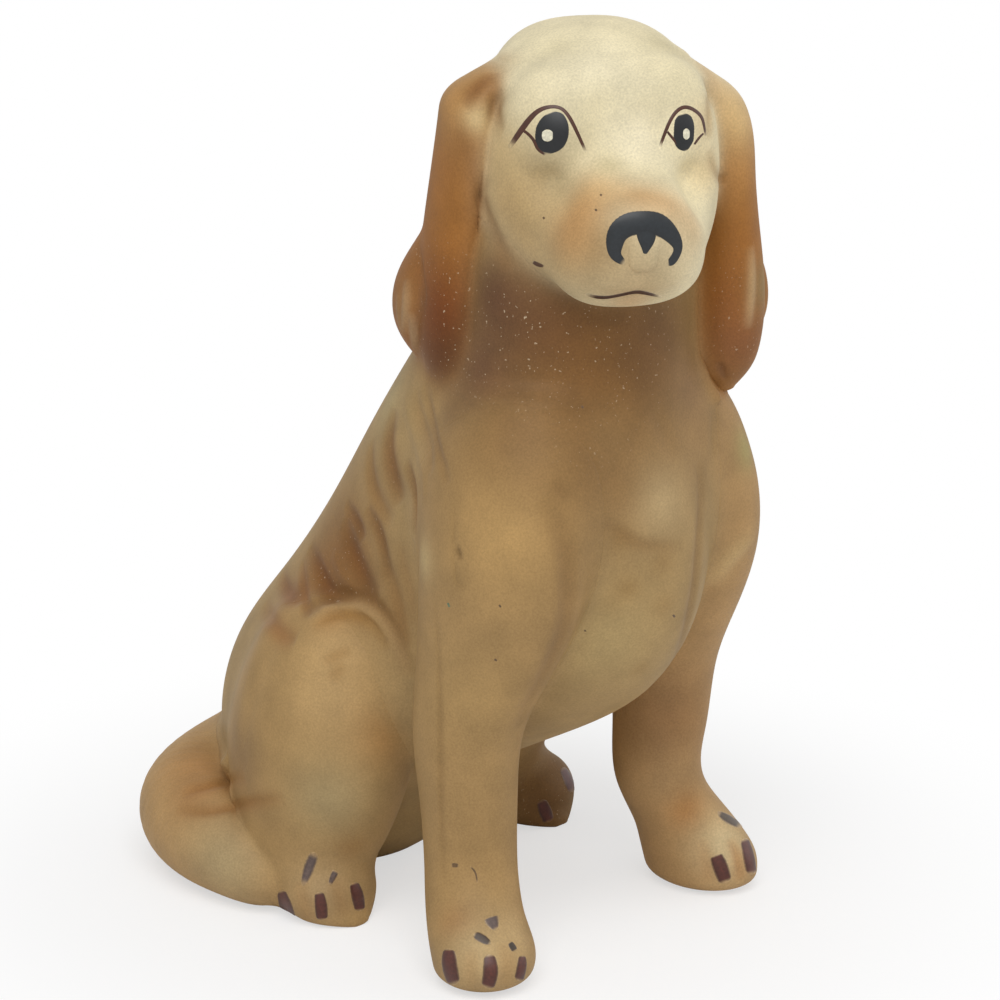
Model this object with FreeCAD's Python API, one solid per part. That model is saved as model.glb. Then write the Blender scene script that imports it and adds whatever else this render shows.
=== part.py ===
"""Seated spaniel figure, slip-cast in nine pieces that the maker lutes together with slip.

The torso and head are hollow shells, open to each other at the neck, and the torso's seat has the
vent that lets the air out in the kiln. The ears, forelegs, haunches and tail are cast apart, trimmed
to the curve of what they are luted to, and seat against it face to face.

Frame: millimetres, +Z up from the table, -Y the way the dog's chest faces, +X the dog's left.
The origin is on the table under the middle of the figure.
"""

import FreeCAD, Part
import math
import os
from FreeCAD import Base, Vector

UP = Vector(0, 0, 1)
ORIGIN = Vector(0, 0, 0)
OUTLINE_POINTS = 8
OVAL = 2.0

# Walls and openings of the castings
CAST_WALL = 3.5
VENT_RADIUS = 2.5
VENT_BACK = 62.0
TABLE_DEPTH = 20.0
TABLE_REACH = 150.0

# Torso: seat on the table, belly, deep chest and neck
TORSO_HEIGHT = 135.0
TORSO_HALF_WIDTH = 27.0
TORSO_DEPTH = 102.0
CHEST_FRONT_Y = -15.5
# Each row: height, front, widest place and back along the depth, half width, lean to the left
TORSO_SHARES = (
    (0.00, 0.67, 0.78, 0.89, 0.48, 0.00),
    (0.04, 0.60, 0.76, 0.96, 0.75, 0.00),
    (0.11, 0.54, 0.74, 0.995, 0.95, 0.00),
    (0.205, 0.38, 0.71, 1.00, 1.00, 0.00),
    (0.30, 0.16, 0.60, 0.97, 0.96, 0.00),
    (0.40, 0.04, 0.44, 0.87, 0.91, 0.00),
    (0.52, 0.00, 0.33, 0.75, 0.90, 0.00),
    (0.635, 0.02, 0.30, 0.65, 0.88, 0.00),
    (0.74, 0.06, 0.26, 0.56, 0.85, 0.03),
    (0.84, 0.08, 0.23, 0.47, 0.80, 0.05),
    (0.93, 0.10, 0.22, 0.41, 0.74, 0.05),
    (1.00, 0.15, 0.23, 0.36, 0.56, 0.05),
)

# Forelegs, each measured towards its own side: paws from the sole up, then leg and shoulder
FORELEG_HEIGHT = 97.0
FORELEG_OUT = 30.5
FORELEG_HALF_WIDTH = 12.0
FORELEG_HALF_DEPTH = 16.0
RIGHT_PAW_TURN = 34.0
LEFT_PAW_TURN = 6.0
# Each row: height, distance out from the middle, way back as a share of the half depth,
# half width, half depth, and how much of the paw's turn it has
RIGHT_PAW_SHARES = (
    (0.000, 0.96, 0.14, 0.42, 0.32, 1.0),
    (0.012, 0.96, 0.14, 0.60, 0.48, 1.0),
    (0.035, 0.96, 0.13, 0.72, 0.60, 1.0),
    (0.070, 0.96, 0.16, 0.74, 0.62, 1.0),
    (0.108, 0.92, 0.32, 0.70, 0.58, 1.0),
    (0.145, 0.86, 0.48, 0.67, 0.53, 0.6),
)
LEFT_PAW_SHARES = (
    (0.000, 0.97, 0.28, 0.42, 0.42, 1.0),
    (0.012, 0.97, 0.28, 0.60, 0.59, 1.0),
    (0.035, 0.97, 0.29, 0.70, 0.69, 1.0),
    (0.070, 0.96, 0.33, 0.71, 0.70, 1.0),
    (0.108, 0.93, 0.42, 0.69, 0.64, 1.0),
    (0.145, 0.88, 0.52, 0.67, 0.58, 1.0),
)
LEG_SHARES = (
    (0.200, 0.80, 0.62, 0.65, 0.51, 0.0),
    (0.310, 0.80, 0.65, 0.69, 0.53, 0.0),
    (0.440, 0.81, 0.62, 0.78, 0.60, 0.0),
    (0.560, 0.77, 0.46, 0.88, 0.80, 0.0),
    (0.690, 0.72, 0.31, 0.97, 0.98, 0.0),
    (0.810, 0.69, 0.28, 0.98, 0.99, 0.0),
    (0.910, 0.65, 0.28, 0.88, 0.82, 0.0),
    (0.975, 0.61, 0.28, 0.66, 0.58, 0.0),
    (1.020, 0.57, 0.28, 0.36, 0.32, 0.0),
)

# Haunch: thigh and the foot that lies along the table, for the right one
THIGH_HEIGHT = 55.5
THIGH_OUT = 24.5
THIGH_BACK = 46.0
THIGH_HALF_WIDTH = 13.0
THIGH_HALF_DEPTH = 17.5
# Each row: height, distance out, way back as a share of the half depth, half width, half depth
THIGH_SHARES = (
    (0.05, 1.06, 0.34, 0.46, 0.46),
    (0.13, 1.05, 0.24, 0.72, 0.68),
    (0.28, 1.02, 0.12, 0.92, 0.88),
    (0.46, 1.00, 0.03, 1.00, 1.00),
    (0.66, 0.98, -0.04, 0.97, 0.96),
    (0.84, 0.95, -0.08, 0.80, 0.78),
    (0.95, 0.93, -0.10, 0.52, 0.52),
    (1.00, 0.92, -0.10, 0.26, 0.26),
)
LEFT_THIGH_SET_BACK = 10.0
LEFT_FOOT_SET_BACK = 6.5
LEFT_FOOT_SET_OUT = 3.0
FOOT_OUT = 27.8
FOOT_HEEL = 65.0
FOOT_LENGTH = 31.0
FOOT_HALF_WIDTH = 8.6
FOOT_HEIGHT = 13.5
FOOT_GROUND_OFF = 1.2
# Each row: way forward from the heel, half width, height
FOOT_SHARES = (
    (0.00, 0.22, 0.36),
    (0.04, 0.50, 0.62),
    (0.14, 0.72, 0.85),
    (0.40, 0.84, 0.92),
    (0.68, 0.98, 1.00),
    (0.86, 0.96, 0.90),
    (0.96, 0.72, 0.68),
    (1.00, 0.40, 0.42),
)

# Tail: leaves the rump behind, lies on the table and curls round the right haunch
TAIL_RADIUS = 12.0
TAIL_BACK = 93.5
TAIL_OUT = 38.0
# Each row: distance out to the right, way back, and as shares of the radius its middle's height
# and its own radius
TAIL_SHARES = (
    (-0.12, 0.83, 1.70, 0.68),
    (0.02, 0.87, 1.25, 0.86),
    (0.30, 0.89, 0.96, 0.95),
    (0.63, 0.84, 0.86, 0.89),
    (0.83, 0.74, 0.78, 0.80),
    (0.89, 0.65, 0.70, 0.70),
    (0.89, 0.57, 0.58, 0.56),
    (0.88, 0.53, 0.50, 0.34),
)

# Head: measured in its own frame, forward along the muzzle, about the middle of the skull
HEAD_OUT = 1.0
HEAD_BEHIND = 5.0
HEAD_HEIGHT = 145.0
HEAD_TURN = 33.0
HEAD_NOD = 10.0
HEAD_FULLNESS = 2.6
SKULL_BACK = 21.0
HEAD_LENGTH = 53.0
HEAD_HALF_WIDTH = 19.6
HEAD_RISE = 13.2
HEAD_DROP = 24.5
# Each row: way forward from the back of the skull, half width, top as a share of the rise,
# widest height and bottom as shares of the drop
HEAD_SHARES = (
    (0.02, 0.34, 0.45, 0.00, 0.26),
    (0.07, 0.58, 0.70, 0.04, 0.44),
    (0.18, 0.85, 0.94, 0.15, 0.66),
    (0.34, 0.98, 1.00, 0.34, 0.88),
    (0.48, 1.00, 0.88, 0.42, 0.98),
    (0.60, 0.93, 0.56, 0.46, 1.00),
    (0.70, 0.81, -0.02, 0.54, 1.00),
    (0.80, 0.69, -0.22, 0.60, 0.98),
    (0.90, 0.58, -0.34, 0.62, 0.95),
    (0.96, 0.45, -0.45, 0.60, 0.80),
    (0.99, 0.27, -0.62, 0.56, 0.70),
    (1.00, 0.12, -0.74, 0.53, 0.62),
)

# Ear: hangs plumb from the skull, for the left one, from its root to its tip
EAR_ROOT_RISE = 8.5
EAR_LENGTH = 57.0
EAR_OUT = 23.0
EAR_BACK = 6.0
EAR_HALF_THICKNESS = 4.6
EAR_HALF_WIDTH = 10.5
EAR_TURN = 20.0
# Each row: way down from the root, distance out, way back, half thickness, half width, turn
EAR_SHARES = (
    (0.00, 0.52, 0.40, 0.80, 0.42, 0.0),
    (0.06, 0.70, 0.50, 1.00, 0.60, 0.0),
    (0.16, 0.88, 0.70, 1.05, 0.78, 0.1),
    (0.35, 0.99, 0.95, 0.92, 0.88, 0.2),
    (0.55, 1.04, 0.92, 0.94, 0.86, 0.3),
    (0.72, 1.07, 0.80, 0.96, 0.84, 0.3),
    (0.86, 1.06, 0.75, 0.94, 0.74, 0.3),
    (0.95, 1.02, 0.70, 0.72, 0.52, 0.3),
    (1.00, 0.99, 0.65, 0.38, 0.28, 0.3),
)
# The lock of hair behind the flap, in the same shares
EAR_LOCK_SHARES = (
    (0.44, 1.10, 1.90, 0.30, 0.30, 0.0),
    (0.50, 1.12, 1.95, 0.58, 0.48, 0.0),
    (0.60, 1.17, 2.05, 0.82, 0.62, 0.0),
    (0.72, 1.20, 2.10, 0.92, 0.68, 0.0),
    (0.82, 1.18, 2.00, 0.84, 0.60, 0.0),
    (0.90, 1.13, 1.85, 0.58, 0.44, 0.0),
    (0.94, 1.10, 1.75, 0.30, 0.26, 0.0),
)


def closed_curve(points):
    """A smooth closed wire through the points, which share the turn evenly."""
    curve = Part.BSplineCurve()
    shares = [step / len(points) for step in range(len(points) + 1)]
    curve.interpolate(Points=points, PeriodicFlag=True, Parameters=shares)
    return Part.Wire([curve.toShape()])


def swell(share, fullness):
    """A sine or cosine drawn out towards a square's corner: fullness 2 leaves it as it is."""
    return math.copysign(abs(share) ** (OVAL / fullness), share)


def oval(centre, across, half_width, ahead, front, back, fullness=OVAL):
    """A closed oval: half_width each way along across, front and back the other way."""
    points = []
    for step in range(OUTLINE_POINTS):
        angle = 2 * math.pi * step / OUTLINE_POINTS
        sideways = half_width * swell(math.cos(angle), fullness)
        reach = front if math.sin(angle) > 0 else back
        points.append(centre + across * sideways + ahead * (reach * swell(math.sin(angle), fullness)))
    return closed_curve(points)


def loft(wires):
    """A smooth closed solid through the wires."""
    return Part.makeLoft(wires, True, False)


def turned(angle):
    """The level directions across and ahead, turned by the angle about the vertical."""
    turn = Base.Rotation(UP, angle)
    return turn.multVec(Vector(1, 0, 0)), turn.multVec(Vector(0, -1, 0))


def mirrored(shape):
    """The same piece for the other side of the dog."""
    return shape.mirror(ORIGIN, Vector(1, 0, 0))


def below_table():
    """Everything under the table's plane, that the feet are ground flat against."""
    side = 2 * TABLE_REACH
    corner = Vector(-TABLE_REACH, -TABLE_REACH, -TABLE_DEPTH)
    return Part.makeBox(side, side, TABLE_DEPTH, corner)


def torso_form(inset):
    """The torso, drawn in by inset on every side: the outside at 0, the hollow at the wall."""
    across, ahead = turned(0)
    wires = []
    for height, front, widest, back, width, lean in TORSO_SHARES:
        level = max(height * TORSO_HEIGHT, inset)
        middle = Vector(lean * TORSO_HALF_WIDTH, CHEST_FRONT_Y + widest * TORSO_DEPTH, level)
        half_width = width * TORSO_HALF_WIDTH - inset
        ahead_of = (widest - front) * TORSO_DEPTH - inset
        behind = (back - widest) * TORSO_DEPTH - inset
        wires.append(oval(middle, across, half_width, ahead, ahead_of, behind))
    return loft(wires)


def foreleg_form(paw_shares, paw_turn):
    """A foreleg before it is trimmed to the chest, drawn as if it were the right one."""
    wires = []
    for height, out, back, width, depth, turn in (*paw_shares, *LEG_SHARES):
        across, ahead = turned(-turn * paw_turn)
        centre = Vector(-out * FORELEG_OUT, back * FORELEG_HALF_DEPTH, height * FORELEG_HEIGHT)
        reach = depth * FORELEG_HALF_DEPTH
        wires.append(oval(centre, across, width * FORELEG_HALF_WIDTH, ahead, reach, reach))
    return loft(wires)


def haunch_form(thigh_set_back, foot_set_back, foot_set_out):
    """A thigh with its foot before it is trimmed to the torso, drawn as if it were the right one."""
    across, ahead = turned(0)
    thigh = []
    for height, out, back, width, depth in THIGH_SHARES:
        behind = THIGH_BACK + back * THIGH_HALF_DEPTH + thigh_set_back
        centre = Vector(-out * THIGH_OUT, behind, height * THIGH_HEIGHT)
        reach = depth * THIGH_HALF_DEPTH
        thigh.append(oval(centre, across, width * THIGH_HALF_WIDTH, ahead, reach, reach))
    foot = []
    for forward, width, height in FOOT_SHARES:
        half_height = height * FOOT_HEIGHT / 2
        rise = half_height - FOOT_GROUND_OFF
        behind = FOOT_HEEL - forward * FOOT_LENGTH + foot_set_back
        centre = Vector(-FOOT_OUT - foot_set_out, behind, rise)
        foot.append(oval(centre, across, width * FOOT_HALF_WIDTH, UP, half_height, half_height))
    return loft(thigh).fuse(loft(foot))


def tail_form():
    """The tail, its sections square to the way it runs."""
    middles = [
        Vector(-out * TAIL_OUT, back * TAIL_BACK, height * TAIL_RADIUS)
        for out, back, height, _ in TAIL_SHARES
    ]
    wires = []
    last = len(middles) - 1
    for place, middle in enumerate(middles):
        along = middles[min(place + 1, last)] - middles[max(place - 1, 0)]
        across = along.cross(UP).normalize()
        rising = across.cross(along).normalize()
        radius = TAIL_SHARES[place][3] * TAIL_RADIUS
        wires.append(oval(middle, across, radius, rising, radius, radius))
    return loft(wires)


def on_neck(shape, nod):
    """Carries a shape drawn about the skull's middle onto the neck, nodded and turned."""
    placed = shape.copy()
    placed.Placement = Base.Placement(
        Vector(HEAD_OUT, HEAD_BEHIND, HEAD_HEIGHT),
        Base.Rotation(UP, -HEAD_TURN).multiply(Base.Rotation(Vector(1, 0, 0), nod)),
    )
    return placed


def head_form(inset):
    """Skull and muzzle, drawn in by inset on every side, about the skull's middle."""
    across = Vector(1, 0, 0)
    wires = []
    for forward, width, top, widest, bottom in HEAD_SHARES:
        level = -widest * HEAD_DROP
        middle = Vector(0, SKULL_BACK - forward * HEAD_LENGTH, level)
        half_width = width * HEAD_HALF_WIDTH - inset
        rise = top * HEAD_RISE - level - inset
        drop = bottom * HEAD_DROP + level - inset
        clear_of_ends = inset <= forward * HEAD_LENGTH <= HEAD_LENGTH - inset
        if clear_of_ends and min(half_width, rise, drop) > 0:
            wires.append(oval(middle, across, half_width, UP, rise, drop, HEAD_FULLNESS))
    return loft(wires)


def hanging_form(shares):
    """The left ear's flap or the lock behind it, about the skull's middle."""
    wires = []
    for down, out, back, thickness, width, turn in shares:
        across, ahead = turned(-turn * EAR_TURN)
        centre = Vector(out * EAR_OUT, back * EAR_BACK, EAR_ROOT_RISE - down * EAR_LENGTH)
        reach = width * EAR_HALF_WIDTH
        wires.append(oval(centre, across, thickness * EAR_HALF_THICKNESS, ahead, reach, reach))
    return loft(wires)


def ear_form():
    """The left ear before it is trimmed to skull, neck and shoulder."""
    return hanging_form(EAR_SHARES).fuse(hanging_form(EAR_LOCK_SHARES))


def stood(pieces):
    """The pieces, moved together so that the figure stands about the origin on the table."""
    box = Part.makeCompound(list(pieces.values())).optimalBoundingBox()
    shift = Vector(-box.Center.x, -box.Center.y, 0)
    return {name: piece.translated(shift) for name, piece in pieces.items()}


def castings():
    """Every casting in the dog's own frame, trimmed to the ones it is luted to.

    There its middle plane is x = 0 and its front paws stand at y = 0.
    """
    table = below_table()
    torso_outside = torso_form(0)
    vent = Part.makeCylinder(VENT_RADIUS, 3 * CAST_WALL, Vector(0, VENT_BACK, -CAST_WALL))
    head_outside = on_neck(head_form(0), HEAD_NOD)
    head_hollow = on_neck(head_form(CAST_WALL), HEAD_NOD)
    left_ear = on_neck(ear_form(), 0)
    right_ear = on_neck(mirrored(ear_form()), 0)
    right_foreleg = foreleg_form(RIGHT_PAW_SHARES, RIGHT_PAW_TURN).cut(torso_outside)
    left_foreleg = mirrored(foreleg_form(LEFT_PAW_SHARES, LEFT_PAW_TURN)).cut(torso_outside)
    right_haunch = haunch_form(0, 0, 0).cut(table)
    left_haunch = haunch_form(LEFT_THIGH_SET_BACK, LEFT_FOOT_SET_BACK, LEFT_FOOT_SET_OUT).cut(table)
    return {
        "torso": torso_outside.cut(torso_form(CAST_WALL)).cut(vent),
        "head": head_outside.cut(head_hollow).cut(torso_outside),
        "right_ear": right_ear.cut(head_outside).cut(torso_outside).cut(right_foreleg),
        "left_ear": left_ear.cut(head_outside).cut(torso_outside).cut(left_foreleg),
        "right_foreleg": right_foreleg,
        "left_foreleg": left_foreleg,
        "right_haunch": right_haunch.cut(torso_outside),
        "left_haunch": mirrored(left_haunch).cut(torso_outside),
        "tail": tail_form().cut(table).cut(torso_outside).cut(right_haunch),
    }


def main():
    """Writes each casting to its own file."""
    os.makedirs("parts", exist_ok=True)
    for name, piece in stood(castings()).items():
        box = piece.optimalBoundingBox()
        print(
            f"{name}: {len(piece.Solids)} solid, valid {piece.isValid()}, {piece.Volume / 1000:.1f} cm3,"
            f" x {box.XMin:.1f}..{box.XMax:.1f} y {box.YMin:.1f}..{box.YMax:.1f}"
            f" z {box.ZMin:.1f}..{box.ZMax:.1f}"
        )
        piece.exportStep(f"parts/{name}.step")


main()
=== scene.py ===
"""Looks of the seated spaniel figure: slip-cast bisque, airbrushed in tan, cream and orange-brown,
with eyes, nose, mouth and claws brushed on in dark enamel.

The figure is worked out in millimetres in the dog's own frame: its middle plane is x = 0, its front
paws stand at y = 0, it faces -y, and z is the height above the table. Each casting is a field, a
number at every point that is negative inside the clay and grows like a distance outside. A casting's
mesh is where rays from a line inside it leave the clay, which makes it a surface of two parameters:
the place along the line and the angle round it.
"""

import logging
import math
from dataclasses import dataclass, replace
from enum import Enum
from functools import lru_cache
from typing import Callable, Protocol

import bpy
import numpy as np
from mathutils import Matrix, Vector

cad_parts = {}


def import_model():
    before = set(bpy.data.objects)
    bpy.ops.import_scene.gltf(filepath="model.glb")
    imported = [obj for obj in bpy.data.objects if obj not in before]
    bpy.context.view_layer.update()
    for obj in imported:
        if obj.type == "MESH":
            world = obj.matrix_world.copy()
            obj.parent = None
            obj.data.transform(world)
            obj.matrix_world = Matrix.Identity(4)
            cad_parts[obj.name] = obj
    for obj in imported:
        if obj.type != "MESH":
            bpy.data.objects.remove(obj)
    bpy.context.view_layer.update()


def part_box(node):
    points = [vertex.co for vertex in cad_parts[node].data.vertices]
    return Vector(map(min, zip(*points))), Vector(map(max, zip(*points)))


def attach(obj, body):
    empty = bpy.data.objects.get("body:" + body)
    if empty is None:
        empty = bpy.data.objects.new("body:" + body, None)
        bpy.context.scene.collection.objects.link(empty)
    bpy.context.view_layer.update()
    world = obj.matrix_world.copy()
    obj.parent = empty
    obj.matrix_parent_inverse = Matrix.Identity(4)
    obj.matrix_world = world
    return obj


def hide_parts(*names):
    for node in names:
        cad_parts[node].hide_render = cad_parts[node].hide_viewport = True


Array = np.ndarray
Field = Callable[[Array], Array]
Point = tuple[float, float, float]
Spot = tuple[float, float]

MM = 0.001
FAR = 1e9
HALVINGS = 12
SETTLINGS = 6
log = logging.getLogger("dog")


class Casting(Enum):
    """The castings, by the names of their CAD nodes."""

    TORSO = "torso"
    HEAD = "head"
    RIGHT_EAR = "right_ear"
    LEFT_EAR = "left_ear"
    RIGHT_FORELEG = "right_foreleg"
    LEFT_FORELEG = "left_foreleg"
    RIGHT_HAUNCH = "right_haunch"
    LEFT_HAUNCH = "left_haunch"
    TAIL = "tail"


def linear(hex_colour: str) -> tuple[float, float, float]:
    """Turns an sRGB hex colour into linear red, green and blue."""
    shares = [int(hex_colour[i : i + 2], 16) / 255 for i in (1, 3, 5)]
    return tuple(s / 12.92 if s <= 0.04045 else ((s + 0.055) / 1.055) ** 2.4 for s in shares)


def unit(vectors: Array) -> Array:
    """Vectors drawn out or in to length one."""
    return vectors / (np.linalg.norm(vectors, axis=-1, keepdims=True) + 1e-12)


def ease(x: Array, low: float, high: float) -> Array:
    """A smooth step: 0 up to low, 1 from high on, and 3s^2 - 2s^3 of the share s between."""
    share = np.clip((x - low) / (high - low), 0, 1)
    return share * share * (3 - 2 * share)


def spline(knots: Array, values: Array, at: Array) -> Array:
    """The natural cubic spline through the values at the knots.

    Its second derivatives m solve h0 m0 + 2(h0+h1) m1 + h1 m2 = 6 (slope1 - slope0), with none at
    either end.

    Args:
        knots: rising places, one per row of values.
        values: the rows to pass through.
        at: where the curve is wanted.

    Returns:
        One row for each place in at.
    """
    step = np.diff(knots)
    slope = np.diff(values, axis=0) / step[:, None]
    inner = np.arange(1, len(knots) - 1)
    system = np.eye(len(knots))
    system[inner, inner - 1] = step[:-1]
    system[inner, inner] = 2 * (step[:-1] + step[1:])
    system[inner, inner + 1] = step[1:]
    right = np.zeros_like(values, dtype=float)
    right[1:-1] = 6 * (slope[1:] - slope[:-1])
    bend = np.linalg.solve(system, right)
    i = np.clip(np.searchsorted(knots, at, side="right") - 1, 0, len(step) - 1)
    h, s = step[i][:, None], (at - knots[i])[:, None]
    rise = slope[i] - h * (2 * bend[i] + bend[i + 1]) / 6
    return values[i] + s * (rise + s * (bend[i] / 2 + s * (bend[i + 1] - bend[i]) / (6 * h)))


def swelling(gap: Array, reach: Array | float) -> Array:
    """How far a fillet of that reach lifts the surface where two fields differ by gap.

    It is reach/4 times the square of the share of the reach that the gap leaves over.
    """
    return reach / 4 * (np.maximum(reach - np.abs(gap), 0) / reach) ** 2


def merged(a: Array, b: Array, reach: Array | float) -> Array:
    """The union of two fields, with a fillet of that reach where they meet."""
    return np.minimum(a, b) - swelling(a - b, reach)


def carved(a: Array, b: Array, reach: Array | float) -> Array:
    """Field a with field b cut out of it, and the edge rounded over that reach."""
    return np.maximum(a, -b) + swelling(a + b, reach)


@dataclass(frozen=True)
class Axes:
    """Three square directions from an origin, in which a form's own sizes are given."""

    origin: Array
    across: Array
    ahead: Array
    up: Array

    def local(self, p: Array) -> Array:
        """Points of the dog's frame as distances across, ahead and up."""
        return (p - self.origin) @ np.stack([self.across, self.ahead, self.up], axis=1)

    def place(self, q: Array) -> Array:
        """Distances across, ahead and up as points of the dog's frame."""
        return self.origin + np.asarray(q, float) @ np.stack([self.across, self.ahead, self.up])


def dog_axes(side: float = 1.0) -> Axes:
    """The dog's frame, with across towards its left, or towards its right where side is -1."""
    return Axes(np.zeros(3), np.array([side, 0, 0.0]), np.array([0, -1.0, 0]), np.array([0, 0, 1.0]))


@dataclass(frozen=True)
class Egg:
    """An ellipsoid lump: its middle and radii across, ahead and up, tipped forward and turned."""

    middle: Point
    radii: Point
    tip: float = 0.0
    turn: float = 0.0
    roll: float = 0.0

    def field(self, q: Array) -> Array:
        """Distance, near enough: k(k-1)/g, with k the length of q over the radii and g its slope.

        Args:
            q: points as distances across, ahead and up.

        Returns:
            The field at each point.
        """
        a, b, c = (math.radians(v) for v in (self.tip, self.turn, self.roll))
        x, y, z = (q[:, i] - self.middle[i] for i in range(3))
        x, y = x * math.cos(b) - y * math.sin(b), x * math.sin(b) + y * math.cos(b)
        y, z = y * math.cos(a) - z * math.sin(a), y * math.sin(a) + z * math.cos(a)
        x, z = x * math.cos(c) - z * math.sin(c), x * math.sin(c) + z * math.cos(c)
        rx, ry, rz = self.radii
        k = np.sqrt((x / rx) ** 2 + (y / ry) ** 2 + (z / rz) ** 2)
        g = np.sqrt((x / rx**2) ** 2 + (y / ry**2) ** 2 + (z / rz**2) ** 2)
        return k * (k - 1) / (g + 1e-9)


@lru_cache(maxsize=64)
def oval_table(rows: tuple[tuple[float, ...], ...], steps: int) -> tuple[Array, Array]:
    """Even places along a stack of ovals, and the ovals' values there by a cubic spline.

    Args:
        rows: the place and the values of each oval, by rising places.
        steps: how many even places.

    Returns:
        The places, and a row of values for each.
    """
    known = np.array(rows, float)
    grid = np.linspace(known[0, 0], known[-1, 0], steps)
    return grid, spline(known[:, 0], known[:, 1:], grid)


@lru_cache(maxsize=8)
def rope_line(points: tuple[tuple[float, ...], ...], steps: int) -> Array:
    """Even places on the cubic spline through points and radii."""
    return spline(np.linspace(0, 1, len(points)), np.array(points, float), np.linspace(0, 1, steps))


@dataclass(frozen=True)
class Stack:
    """Ovals threaded on a straight line, as shares of a few driving sizes.

    Each row: the place along the line, the oval's middle sideways and towards its face, its half
    width, its reach to the face and to the back, and its turn in degrees.
    """

    rows: tuple[tuple[float, ...], ...]
    fullness: float = 2.0
    steps: int = 400
    blunt: float = 3.0

    def field(self, sideways: Array, face: Array, along: Array) -> Array:
        """The ovals' own field (r - 1) over the steepness of r, closed by a low dome at either end.

        r is the length of the point over the oval's half sizes, to the power fullness, and the
        half sizes follow a cubic spline through the rows. Past an end, a dome of the last oval's
        least half size stands up by that size over blunt.

        Args:
            sideways: distances along the ovals' width.
            face: distances along the ovals' depth, towards the face.
            along: distances along the line that they are threaded on.

        Returns:
            The field at each point.
        """
        grid, table = oval_table(self.rows, self.steps)
        held = np.clip(along, grid[0], grid[-1])
        place = (held - grid[0]) / (grid[1] - grid[0])
        low = np.minimum(place.astype(int), self.steps - 2)
        share = (place - low)[:, None]
        x0, y0, width, front, back, turn = (table[low] * (1 - share) + table[low + 1] * share).T
        angle = np.radians(turn)
        x, y = sideways - x0, face - y0
        x, y = x * np.cos(angle) - y * np.sin(angle), x * np.sin(angle) + y * np.cos(angle)
        depth = np.where(y > 0, front, back)
        width, depth = np.maximum(width, 0.2), np.maximum(depth, 0.2)
        n = self.fullness
        ax, ay = np.abs(x) / width + 1e-6, np.abs(y) / depth + 1e-6
        r = (ax**n + ay**n) ** (1 / n)
        steep = r ** (1 - n) * np.hypot(ax ** (n - 1) / width, ay ** (n - 1) / depth)
        side = (r - 1) / steep
        inner = np.maximum(np.minimum(width, np.minimum(front, back)), 0.2)
        past = self.blunt * np.abs(along - held)
        dome = np.hypot(np.maximum(side, -inner) + inner, past) - inner
        return np.where(past > 0, dome, side)


@dataclass(frozen=True)
class Rope:
    """A round form along a smooth line through points, each with its radius."""

    points: tuple[tuple[float, float, float, float], ...]
    steps: int = 48
    far: float = 14.0

    def field(self, q: Array) -> Array:
        """Distance to the nearest of the short cones that the line is cut into.

        A point far from the line's box counts by its distance to the box.

        Args:
            q: points as distances across, ahead and up.

        Returns:
            The field at each point.
        """
        line = rope_line(self.points, self.steps)
        radius = line[:, 3].max()
        low, high = line[:, :3].min(0) - radius, line[:, :3].max(0) + radius
        outside = np.linalg.norm(np.maximum(np.maximum(low - q, q - high), 0), axis=1)
        near = outside < self.far
        best, q = outside.copy(), q[near]
        closest = np.full(len(q), FAR)
        for start, end in zip(line[:-1], line[1:]):
            run, away = end[:3] - start[:3], q - start[:3]
            share = np.clip(away @ run / (run @ run), 0, 1)
            gap = away - share[:, None] * run
            gap = np.sqrt(np.einsum("ij,ij->i", gap, gap))
            closest = np.minimum(closest, gap - start[3] - share * (end[3] - start[3]))
        best[near] = closest
        return best


@dataclass(frozen=True)
class Spine:
    """A smooth line inside a casting, that its rays leave square to it and fan out round its ends.

    The caps are the shares of the rings that fan out round either end, and the grid is how many
    rings and spokes the casting's mesh has.
    """

    points: tuple[Point, ...]
    reach: float
    first_cap: float = 0.2
    last_cap: float = 0.2
    facing: Point = (0.0, -1.0, 0.0)
    grid: tuple[int, int] = (240, 200)

    def rays(self, rings: int, spokes: int) -> tuple[Array, Array]:
        """Where the rays start and which way they go.

        With s the place along the line, v the angle round it and w the tilt, which runs from -90 to
        0 degrees round the first end and from 0 to 90 round the last, a ray from the line's point at
        s goes along cos w (cos v across + sin v facing) + sin w along.

        Args:
            rings: how many places along the line, its two poles among them.
            spokes: how many angles round it.

        Returns:
            Starts and directions, each rings by spokes by three.
        """
        u = np.linspace(0, 1, rings)
        s = np.clip((u - self.first_cap) / (1 - self.first_cap - self.last_cap), 0, 1)
        before = np.clip(u / self.first_cap, 0, 1) - 1
        after = np.clip((u - 1 + self.last_cap) / self.last_cap, 0, 1)
        tilt = (before + after) * math.pi / 2
        points = np.array(self.points, float)
        lengths = np.linalg.norm(np.diff(points, axis=0), axis=1)
        knots = np.concatenate([[0], np.cumsum(lengths)]) / lengths.sum()
        line = spline(knots, points, s)
        nudge = 1e-3
        next_place = spline(knots, points, np.minimum(s + nudge, 1))
        last_place = spline(knots, points, np.maximum(s - nudge, 0))
        along = unit(next_place - last_place)[:, None]
        across = unit(np.cross(along, np.array(self.facing)))
        facing = np.cross(across, along)
        v = np.linspace(0, 2 * math.pi, spokes, endpoint=False)[None, :, None]
        w = tilt[:, None, None]
        ways = np.cos(w) * (np.cos(v) * across + np.sin(v) * facing) + np.sin(w) * along
        starts = np.broadcast_to(line[:, None], ways.shape)
        return starts, ways


class Form(Protocol):
    """What the form of every casting can tell."""

    def field(self, p: Array) -> Array:
        """The form's field in the dog's frame."""

    def spine(self) -> Spine:
        """The line inside the form that its mesh's rays leave."""


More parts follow.
